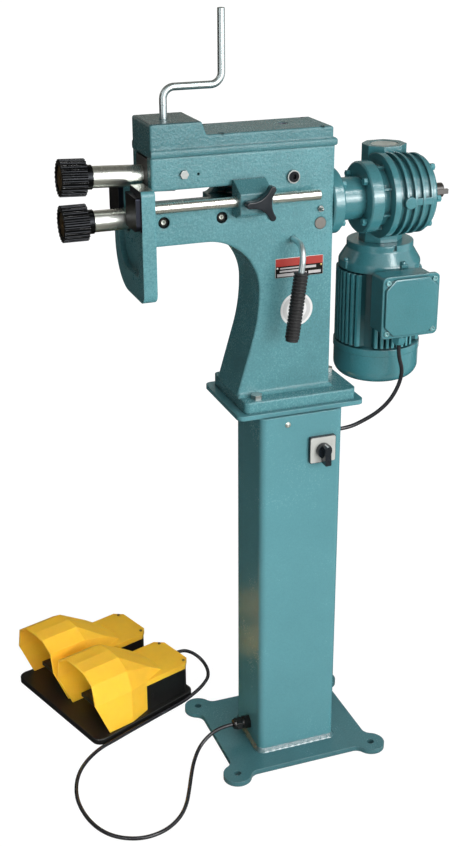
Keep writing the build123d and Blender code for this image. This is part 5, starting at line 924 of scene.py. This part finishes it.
class SWAGE_OT_finish_foot_switch(bpy.types.Operator):
    """Black base, housings and treadles under yellow guards"""
    bl_idname = "swage.finish_foot_switch"
    bl_label = "Finish Foot Switch"

    def execute(self, context):
        look = context.scene.swage_finishes
        black = plastic("housing_black", scaled(look.black_plastic, 0.7), roughness=0.42, fineness=1100,
                        depth=0.00008)
        finish_nodes(black, "pedal_base", "pedal_housings", "treadle_near", "treadle_far")
        yellow = plastic("guard_yellow", look.guard, roughness=0.36, fineness=1300, depth=0.00004,
                         edge_radius=0.0012, rub_and_highlight=0.2, level=0.4)
        body = yellow.node_tree.nodes["Principled BSDF"].inputs
        body["Subsurface Weight"].default_value = 0.45
        body["Subsurface Radius"].default_value = (1.0, 0.6, 0.12)
        body["Subsurface Scale"].default_value = 0.006
        finish_nodes(yellow, "pedal_cover_near", "pedal_cover_far")
        return {"FINISHED"}


class SWAGE_OT_mount_plates(bpy.types.Operator):
    """Blank nameplate with its rivets, and a blank round label"""
    bl_idname = "swage.mount_plates"
    bl_label = "Mount Plates"

    def execute(self, context):
        look = context.scene.swage_finishes
        sizes = context.scene.swage_sizes
        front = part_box("body_casting")[0].y + FLANGE_STEP
        self.mount_nameplate(look, Vector((NAMEPLATE_AT[0], front, NAMEPLATE_AT[1])),
                             sizes.plate_width, sizes.plate_height)
        self.stick_label(look, Vector((LABEL_AT[0], front, LABEL_AT[1])), sizes.label_radius)
        return {"FINISHED"}

    def mount_nameplate(self, look, centre, width, height):
        """Black plate with a red band, bare strips and two rivets."""
        place = facing(centre, FRONT)

        def plate(work):
            slab(work, place, width, height, radius=0.0018, low=-0.0004, high=0.0007, bevel=0.0003)
        new_piece("nameplate", mesh_of(plate), self.plate_finish(look, centre, width, height))

        def band(work):
            slab(work, moved(place, 0, BAND_LEVEL * height, 0), BAND_SIZE[0] * width, BAND_SIZE[1] * height,
                 radius=0.0012, low=0.0006, high=0.00095, bevel=0.0001)
        red = plastic("nameplate_red", look.plate_red, roughness=0.34, fineness=1500, depth=0.00002)
        new_piece("nameplate_band", mesh_of(band), red)

        def fields(work):
            for shift, level, wide, tall in PLATE_STRIPS:
                slab(work, moved(place, shift * width, level * height, 0), wide * width, tall * height,
                     radius=0.0004, low=0.0006, high=0.0009, bevel=0.0001)
        bare = plastic("nameplate_print", look.plate_print, roughness=0.36, fineness=1500, depth=0.00002)
        new_piece("nameplate_fields", mesh_of(fields), bare)
        for side, side_name, colour in ((-1, "left", look.steel), (1, "right", look.brass)):
            def rivet(work):
                spot = moved(place, side * RIVET_SHIFT * width, 0, 0.0005)
                turned_profile(work, RIVET_OUTLINE, spot, segments=20)
            finish = metal("rivet_" + side_name, colour, roughness=0.3, marks=(400, 400, 400), depth=0.00003)
            new_piece("nameplate_rivet_" + side_name, mesh_of(rivet), finish)

    def plate_finish(self, look, centre, width, height):
        """Black enamel inside a bare aluminium rim."""
        made = metal("nameplate_metal", look.aluminium, roughness=0.34, marks=(30, 30, 900), depth=0.00002)

        def field(tree):
            return calc(tree, "MULTIPLY", within(tree, "Z", centre.z, PLATE_FIELD[1] * height),
                        within(tree, "X", centre.x, PLATE_FIELD[0] * width))
        recolour(made, field, look.plate_black)
        return made

    def stick_label(self, look, centre, radius):
        """White card with a plain grey ring."""
        def label(work):
            outline = [(share * radius, height) for share, height in LABEL_OUTLINE]
            turned_profile(work, outline, facing(centre, FRONT), segments=64)
        card = plastic("round_label_card", look.label_white, roughness=0.42, fineness=1500, depth=0.00002)
        for share, colour in zip(LABEL_RING, (scaled(look.label_white, 0.74), look.label_white)):
            recolour(card, lambda tree: near_line(tree, centre.x, centre.z, share * radius), colour)
        new_piece("round_label", mesh_of(label), card)


class SWAGE_OT_fit_small_screws(bpy.types.Operator):
    """Earth screw, the motor's bell screws and the foot switch's lid screws"""
    bl_idname = "swage.fit_small_screws"
    bl_label = "Fit Small Screws"

    def execute(self, context):
        look = context.scene.swage_finishes
        column_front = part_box("pedestal_column")[0].y + COLUMN_FOOT_STEP

        def earth(work):
            spot = facing(Vector((EARTH_SCREW_AT[0], column_front, EARTH_SCREW_AT[1])), FRONT)
            turned_profile(work, WASHER_OUTLINE, spot, segments=32)
            washer_top = WASHER_OUTLINE[-1][1]
            screw_head(work, moved(spot, 0, 0, washer_top), radius=0.0036, height=0.0022, socket=0.0015)
        bright = metal("earth_screw_steel", look.steel, roughness=0.30, marks=EVEN_MARKS, depth=0.00004)
        new_piece("earth_screw", mesh_of(earth), bright)
        low, _, axis = node_box("motor_bell")

        def bell(work):
            for turn in full_turn(4):
                lug = Vector((axis.x, axis.y, low.z)) + round_point(LUG_RADIUS, turn + LUG_TURN, LUG_RISE)
                screw_head(work, facing(lug, UP), radius=0.0045, height=0.005, socket=0.0021)
        new_piece("bell_screws", mesh_of(bell), bpy.data.materials["drive_enamel"])

        def lids(work):
            for middle in FOOT_UNITS:
                for along, across in LID_SCREWS_AT:
                    spot = foot_point(along, middle + across, LID_TOP)
                    screw_head(work, facing(spot, UP), radius=0.0030, height=0.0018, socket=0.0014)
        brown = metal("lid_screw_steel", scaled(look.brass, 0.35), roughness=0.36, marks=EVEN_MARKS, depth=0.00004)
        new_piece("lid_screws", mesh_of(lids), brown)
        return {"FINISHED"}


class SWAGE_OT_press_lid(bpy.types.Operator):
    """Raised panel with cut corners on the terminal box's lid"""
    bl_idname = "swage.press_lid"
    bl_label = "Press Lid"

    def execute(self, context):
        sizes = context.scene.swage_sizes
        low, high, middle = node_box("terminal_lid")
        place = facing(Vector((middle.x, low.y, middle.z)), FRONT)
        half_x = (high.x - low.x) / 2 - sizes.panel_rim
        half_z = (high.z - low.z) / 2 - sizes.panel_rim

        def panel(work):
            rings = []
            for inset, level in PANEL_STEPS:
                cut = sizes.panel_cut - CUT_SHRINK * inset
                x, z = half_x - inset, half_z - inset
                corners = [(x, z - cut), (x - cut, z), (cut - x, z), (-x, z - cut),
                           (-x, cut - z), (cut - x, -z), (x - cut, -z), (x, cut - z)]
                rings.append([work.verts.new(place @ Vector((a, b, level))) for a, b in corners])
            skin_rings(work, rings)
        new_piece("lid_panel", mesh_of(panel), bpy.data.materials["drive_enamel"])
        return {"FINISHED"}


class SWAGE_OT_lay_weld_bead(bpy.types.Operator):
    """Rippled weld bead round the column's foot"""
    bl_idname = "swage.lay_weld_bead"
    bl_label = "Lay Weld Bead"

    def execute(self, context):
        look = context.scene.swage_finishes
        sizes = context.scene.swage_sizes
        low, _, middle = node_box("pedestal_column")
        foot = Vector((middle.x, middle.y, low.z))
        outline = rounded_outline(*COLUMN_SIZE, COLUMN_CORNER, steps=12)
        spots = self.spaced(outline, sizes.bead_pitch / RIPPLE_STEPS)

        def bead(work):
            rings = [self.section(work, foot + point, outward, sizes, self.ripple(i))
                     for i, (point, outward) in enumerate(spots)]
            for first, second in zip(rings, rings[1:] + rings[:1]):
                for k in range(SECTION_STEPS):
                    work.faces.new((first[k], second[k], second[k + 1], first[k + 1]))
        # Painted shade and highlight: the bead is a dark copy of the pedestal paint, painted pale along its front.
        glossy = paint("bead_paint", scaled(look.pedestal, 0.5), roughness=0.14, lumps=160, depth=0.0008,
                       edge_radius=0.0012, rub_and_highlight=0, mottle=0.16, level=1.0, soil_and_shade=0.2)
        recolour(glossy, lambda tree: inverted(tree, beyond(tree, "Y", low.y + BEAD_HIGHLIGHT_FRONT)), look.bead_highlight)
        new_piece("weld_bead", mesh_of(bead, smooth=50), glossy)
        return {"FINISHED"}

    def ripple(self, i):
        """How much fuller the bead is at a step along it."""
        share = (i % RIPPLE_STEPS) / RIPPLE_STEPS
        return 1 + RIPPLE_SHARE * math.sin(math.pi * share) + WANDER_SHARE * math.sin(WANDER_RATE * i)

    def section(self, work, root, outward, sizes, ripple):
        """The bead's hollow outline at one step, from the plate up to the column."""
        ring = []
        for k in range(SECTION_STEPS + 1):
            angle = math.pi / 2 * k / SECTION_STEPS
            reach = ripple * (1 - HOLLOW_SHARE * math.sin(2 * angle))
            along_plate = outward * (sizes.bead_leg * reach * math.cos(angle) - SUNK_SIDE)
            up_column = Vector((0, 0, sizes.bead_rise * reach * math.sin(angle) - SUNK_FOOT))
            ring.append(work.verts.new(root + along_plate + up_column))
        return ring

    def spaced(self, line, step):
        """Even points along a closed line, each with its outward direction."""
        found = []
        for start, end in zip(line, line[1:] + line[:1]):
            run = end - start
            outward = Vector((run.y, -run.x, 0)).normalized()
            share = max(1, round(run.length / step))
            found += [(start + run * (k / share), outward) for k in range(share)]
        return found


class SWAGE_OT_wind_springs(bpy.types.Operator):
    """Return springs under the rocker"""
    bl_idname = "swage.wind_springs"
    bl_label = "Wind Springs"

    def execute(self, context):
        look = context.scene.swage_finishes
        turns = context.scene.swage_sizes.spring_turns
        low, high, middle = node_box("return_springs")
        outer = (high.x - low.x) / 2
        side = (high.y - low.y) / 2 - outer

        def coils(work):
            for sign in (-1, 1):
                axis = Vector((middle.x, middle.y + sign * side, 0))
                self.wind(work, axis, outer - SPRING_WIRE, low.z + SPRING_WIRE, high.z - SPRING_WIRE, turns)
        steel = metal("spring_steel", look.dark_steel, roughness=0.3, marks=EVEN_MARKS, depth=0.00003)
        springs = new_piece("coil_springs", mesh_of(coils, smooth=60), steel)
        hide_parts("return_springs")
        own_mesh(springs)
        return {"FINISHED"}

    def wind(self, work, axis, radius, bottom, top, turns):
        """One closed-ended coil of round wire."""
        steps = SPRING_STEPS * turns
        rings = []
        for i in range(steps + 1):
            share = i / steps
            ends = 0.5 - 0.5 * math.cos(math.pi * share)
            rise = bottom + (top - bottom) * ((1 - CLOSED_ENDS) * share + CLOSED_ENDS * ends)
            outward = round_point(1, 2 * math.pi * turns * share, 0)
            centre = axis + outward * radius + Vector((0, 0, rise))
            rings.append([work.verts.new(centre + outward * (SPRING_WIRE * math.cos(angle))
                                         + Vector((0, 0, SPRING_WIRE * math.sin(angle))))
                          for angle in full_turn(SPRING_SIDES)])
        skin_rings(work, rings)


class SWAGE_OT_fit_caps(bpy.types.Operator):
    """Cap on the gearbox tower, plug in the cover's oil port and the pointer's white line"""
    bl_idname = "swage.fit_caps"
    bl_label = "Fit Caps"

    def execute(self, context):
        look = context.scene.swage_finishes
        axis = node_box("motor_bell")[2]
        tower = Vector((axis.x, axis.y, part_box("gearbox_housing")[1].z - TOWER_RIM))

        def cap(work):
            turned_profile(work, CAP_OUTLINE, Matrix.Translation(tower), segments=64)
        pale = metal("cap_plating", look.cap_grey, roughness=0.42, marks=(260, 260, 260), depth=0.00006)
        new_piece("tower_cap", mesh_of(cap), pale)
        port = Vector((*OIL_PLUG_AT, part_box("top_cover")[1].z - COVER_STEP))

        def plug(work):
            turned_profile(work, PLUG_OUTLINE, Matrix.Translation(port), segments=48)
        dark = plastic("oil_plug_face", look.oil_plug, roughness=0.35, fineness=900, depth=0.00003)
        new_piece("oil_plug", mesh_of(plug), dark)
        switch = node_box("switch_base")[2]
        outward = Vector((-math.sin(POINTER_TURN), 0, math.cos(POINTER_TURN)))
        knob = Vector((switch.x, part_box("switch_knob")[0].y + POINTER_DEPTH, switch.z))

        def line(work):
            slab(work, facing(knob + outward * POINTER_TAIL, outward), *POINTER_LINE,
                 radius=0.0006, low=-0.0003, high=0.0003, bevel=0.0001)
        white = plastic("pointer_white", look.label_white, roughness=0.42, fineness=1500, depth=0.00002)
        new_piece("pointer_line", mesh_of(line), white, body="switch_knob")
        return {"FINISHED"}


def cable_curve(name, route, diameter):
    """A round cable along a smooth line through its route."""
    curve = bpy.data.curves.new(name, "CURVE")
    curve.dimensions = "3D"
    line = curve.splines.new("NURBS")
    line.points.add(len(route) - 1)
    for point, place in zip(line.points, route):
        point.co = (*place, 1)
    line.order_u = 3
    line.use_endpoint_u = True
    line.resolution_u = 10
    curve.bevel_depth = diameter / 2
    curve.bevel_resolution = 6
    curve.use_fill_caps = True
    return curve


class SWAGE_OT_lay_cables(bpy.types.Operator):
    """The foot switch's cable on the floor and the motor's cable into the column"""
    bl_idname = "swage.lay_cables"
    bl_label = "Lay Cables"

    def execute(self, context):
        look = context.scene.swage_finishes
        sizes = context.scene.swage_sizes
        sheath = plastic("cable_sheath", look.cable, roughness=0.20, fineness=900, depth=0.00003)
        pedal = new_piece("pedal_lead", cable_curve("pedal_lead", PEDAL_ROUTE, sizes.pedal_cable), sheath)
        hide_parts("pedal_cable")
        motor = new_piece("motor_lead", cable_curve("motor_lead", MOTOR_ROUTE, sizes.motor_cable), sheath)
        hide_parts("motor_cable")
        return {"FINISHED"}


class SWAGE_OT_set_stage(bpy.types.Operator):
    """White floor and surroundings, soft light and the camera"""
    bl_idname = "swage.set_stage"
    bl_label = "Set Stage"

    def execute(self, context):
        stage = context.scene.swage_stage
        self.lay_floor(context)
        self.light_world(context)
        for name, place, target, width, height, spread in LAMPS:
            self.hang_lamp(context, name, place, target, width, height, getattr(stage, name + "_power"), spread)
        for name, low, high, shade in FLAGS:
            self.hang_flag(context, name, low, high, shade)
        self.place_camera(context, stage)
        context.scene.view_settings.view_transform = "Standard"
        return {"FINISHED"}

    def white_ray(self, tree):
        """1 for rays that should see plain white: camera, glossy and transmission."""
        path = shader(tree, "LightPath").outputs
        seen = calc(tree, "MAXIMUM", path["Is Camera Ray"], path["Is Glossy Ray"])
        return calc(tree, "MAXIMUM", seen, path["Is Transmission Ray"])

    def lay_floor(self, context):
        """A white floor that keeps the object's shadow near it."""
        def build(work):
            bmesh.ops.create_grid(work, x_segments=1, y_segments=1, size=FLOOR_REACH)
        made = bpy.data.materials.new("studio_floor")
        made.use_nodes = True
        tree = made.node_tree
        tree.nodes.clear()
        matt = shader(tree, "BsdfDiffuse", {"Color": FLOOR_GREY}).outputs[0]
        glow = shader(tree, "Emission", {"Color": WHITE, "Strength": FLOOR_GLOW}).outputs[0]
        reach = shader(tree, "VectorMath", {0: surface_point(tree)}, operation="LENGTH").outputs["Value"]
        fade = ranged(tree, reach, SHADOW_SHARE, 1, *SHADOW_SPAN)
        share = calc(tree, "MULTIPLY", self.white_ray(tree), fade)
        mixed = shader(tree, "MixShader", {0: share, 1: matt, 2: glow}).outputs[0]
        shader(tree, "OutputMaterial", {"Surface": mixed})
        floor = bpy.data.objects.new("studio_floor", mesh_of(build))
        floor.data.materials.append(made)
        context.scene.collection.objects.link(floor)

    def light_world(self, context):
        """A dim room that looks white to the camera and in reflections."""
        world = bpy.data.worlds.new("studio_world")
        context.scene.world = world
        world.use_nodes = True
        tree = world.node_tree
        back = tree.nodes["Background"].inputs
        back["Color"].default_value = WHITE
        feed(tree, back["Strength"], ranged(tree, self.white_ray(tree), ROOM_LIGHT, 1))

    def hang_lamp(self, context, name, place, target, width, height, energy, spread):
        """A soft rectangular lamp that faces a point."""
        lamp = bpy.data.lights.new(name + "_light", "AREA")
        lamp.shape = "RECTANGLE"
        lamp.size = width
        lamp.size_y = height
        lamp.energy = energy
        lamp.spread = math.radians(spread)
        holder = bpy.data.objects.new(name + "_light", lamp)
        holder.location = place
        holder.rotation_euler = (Vector(target) - Vector(place)).to_track_quat("-Z", "Y").to_euler()
        holder.visible_camera = False
        holder.visible_glossy = name not in HIDDEN_FROM_REFLECTIONS
        holder.visible_diffuse = name != REFLECTIONS_ONLY
        context.scene.collection.objects.link(holder)

    def hang_flag(self, context, name, low, high, shade):
        """A grey card that reflections see, as a studio hangs beside metal. One also shades the room's light."""
        u, v = (axis for axis in range(3) if low[axis] != high[axis])

        def build(work):
            corners = []
            for along, across in ((low, low), (high, low), (high, high), (low, high)):
                corner = Vector(low)
                corner[u], corner[v] = along[u], across[v]
                corner.z += FLAG_LIFT
                corners.append(work.verts.new(corner))
            work.faces.new(corners)
        made, _, body = new_material(name)
        body["Base Color"].default_value = (shade, 0.95 * shade, 0.84 * shade, 1)
        body["Roughness"].default_value = 1
        body["Specular IOR Level"].default_value = 0
        card = bpy.data.objects.new(name, mesh_of(build))
        card.data.materials.append(made)
        card.visible_camera = False
        card.visible_diffuse = name == SHADING_FLAG
        card.visible_shadow = False
        context.scene.collection.objects.link(card)

    def place_camera(self, context, stage):
        """The camera at the photograph's viewing angle."""
        pitch, yaw, roll = stage.camera_pitch, stage.camera_yaw, stage.camera_roll
        ahead = Vector((math.sin(yaw) * math.cos(pitch), math.cos(yaw) * math.cos(pitch), -math.sin(pitch)))
        right = Vector((math.cos(yaw), -math.sin(yaw), 0))
        up = right.cross(ahead)
        tilted_right = right * math.cos(roll) + up * math.sin(roll)
        tilted_up = up * math.cos(roll) - right * math.sin(roll)
        turn = Matrix((tilted_right, tilted_up, -ahead)).transposed()
        lens = bpy.data.cameras.new("photo_camera")
        lens.sensor_fit = "AUTO"
        lens.sensor_width = 36
        lens.lens = stage.lens
        lens.clip_start = 0.05
        lens.clip_end = 50
        camera = bpy.data.objects.new("photo_camera", lens)
        camera.matrix_world = Matrix.Translation(stage.camera_place) @ turn.to_4x4()
        context.scene.collection.objects.link(camera)
        context.scene.camera = camera


OPERATORS = (
    SWAGE_OT_set_stage,
    SWAGE_OT_lay_cables,
    SWAGE_OT_paint_castings,
    SWAGE_OT_paint_pedestal,
    SWAGE_OT_paint_drive,
    SWAGE_OT_finish_steel,
    SWAGE_OT_finish_rolls,
    SWAGE_OT_finish_plastics,
    SWAGE_OT_finish_foot_switch,
    SWAGE_OT_mount_plates,
    SWAGE_OT_fit_small_screws,
    SWAGE_OT_press_lid,
    SWAGE_OT_lay_weld_bead,
    SWAGE_OT_wind_springs,
    SWAGE_OT_fit_caps,
)


class SWAGE_PT_sidebar(bpy.types.Panel):
    """Lists the sizes, the finishes and the steps"""
    bl_idname = "SWAGE_PT_sidebar"
    bl_label = "Swage Jenny"
    bl_space_type = "VIEW_3D"
    bl_region_type = "UI"
    bl_category = "Swage Jenny"

    def draw(self, context):
        for group in (context.scene.swage_finishes, context.scene.swage_sizes, context.scene.swage_stage):
            box = self.layout.box()
            for key in group.__annotations__:
                box.prop(group, key)
        for step in OPERATORS:
            self.layout.operator(step.bl_idname)


CLASSES = (SwageFinishes, SwageSizes, SwageStage) + OPERATORS + (SWAGE_PT_sidebar,)


def register():
    for item in CLASSES:
        bpy.utils.register_class(item)
    bpy.types.Scene.swage_finishes = PointerProperty(type=SwageFinishes)
    bpy.types.Scene.swage_sizes = PointerProperty(type=SwageSizes)
    bpy.types.Scene.swage_stage = PointerProperty(type=SwageStage)


def unregister():
    del bpy.types.Scene.swage_stage
    del bpy.types.Scene.swage_sizes
    del bpy.types.Scene.swage_finishes
    for item in reversed(CLASSES):
        bpy.utils.unregister_class(item)


def main():
    register()
    for step in OPERATORS:
        group, name = step.bl_idname.split(".")
        getattr(getattr(bpy.ops, group), name)()


if __name__ == "__main__":
    main()
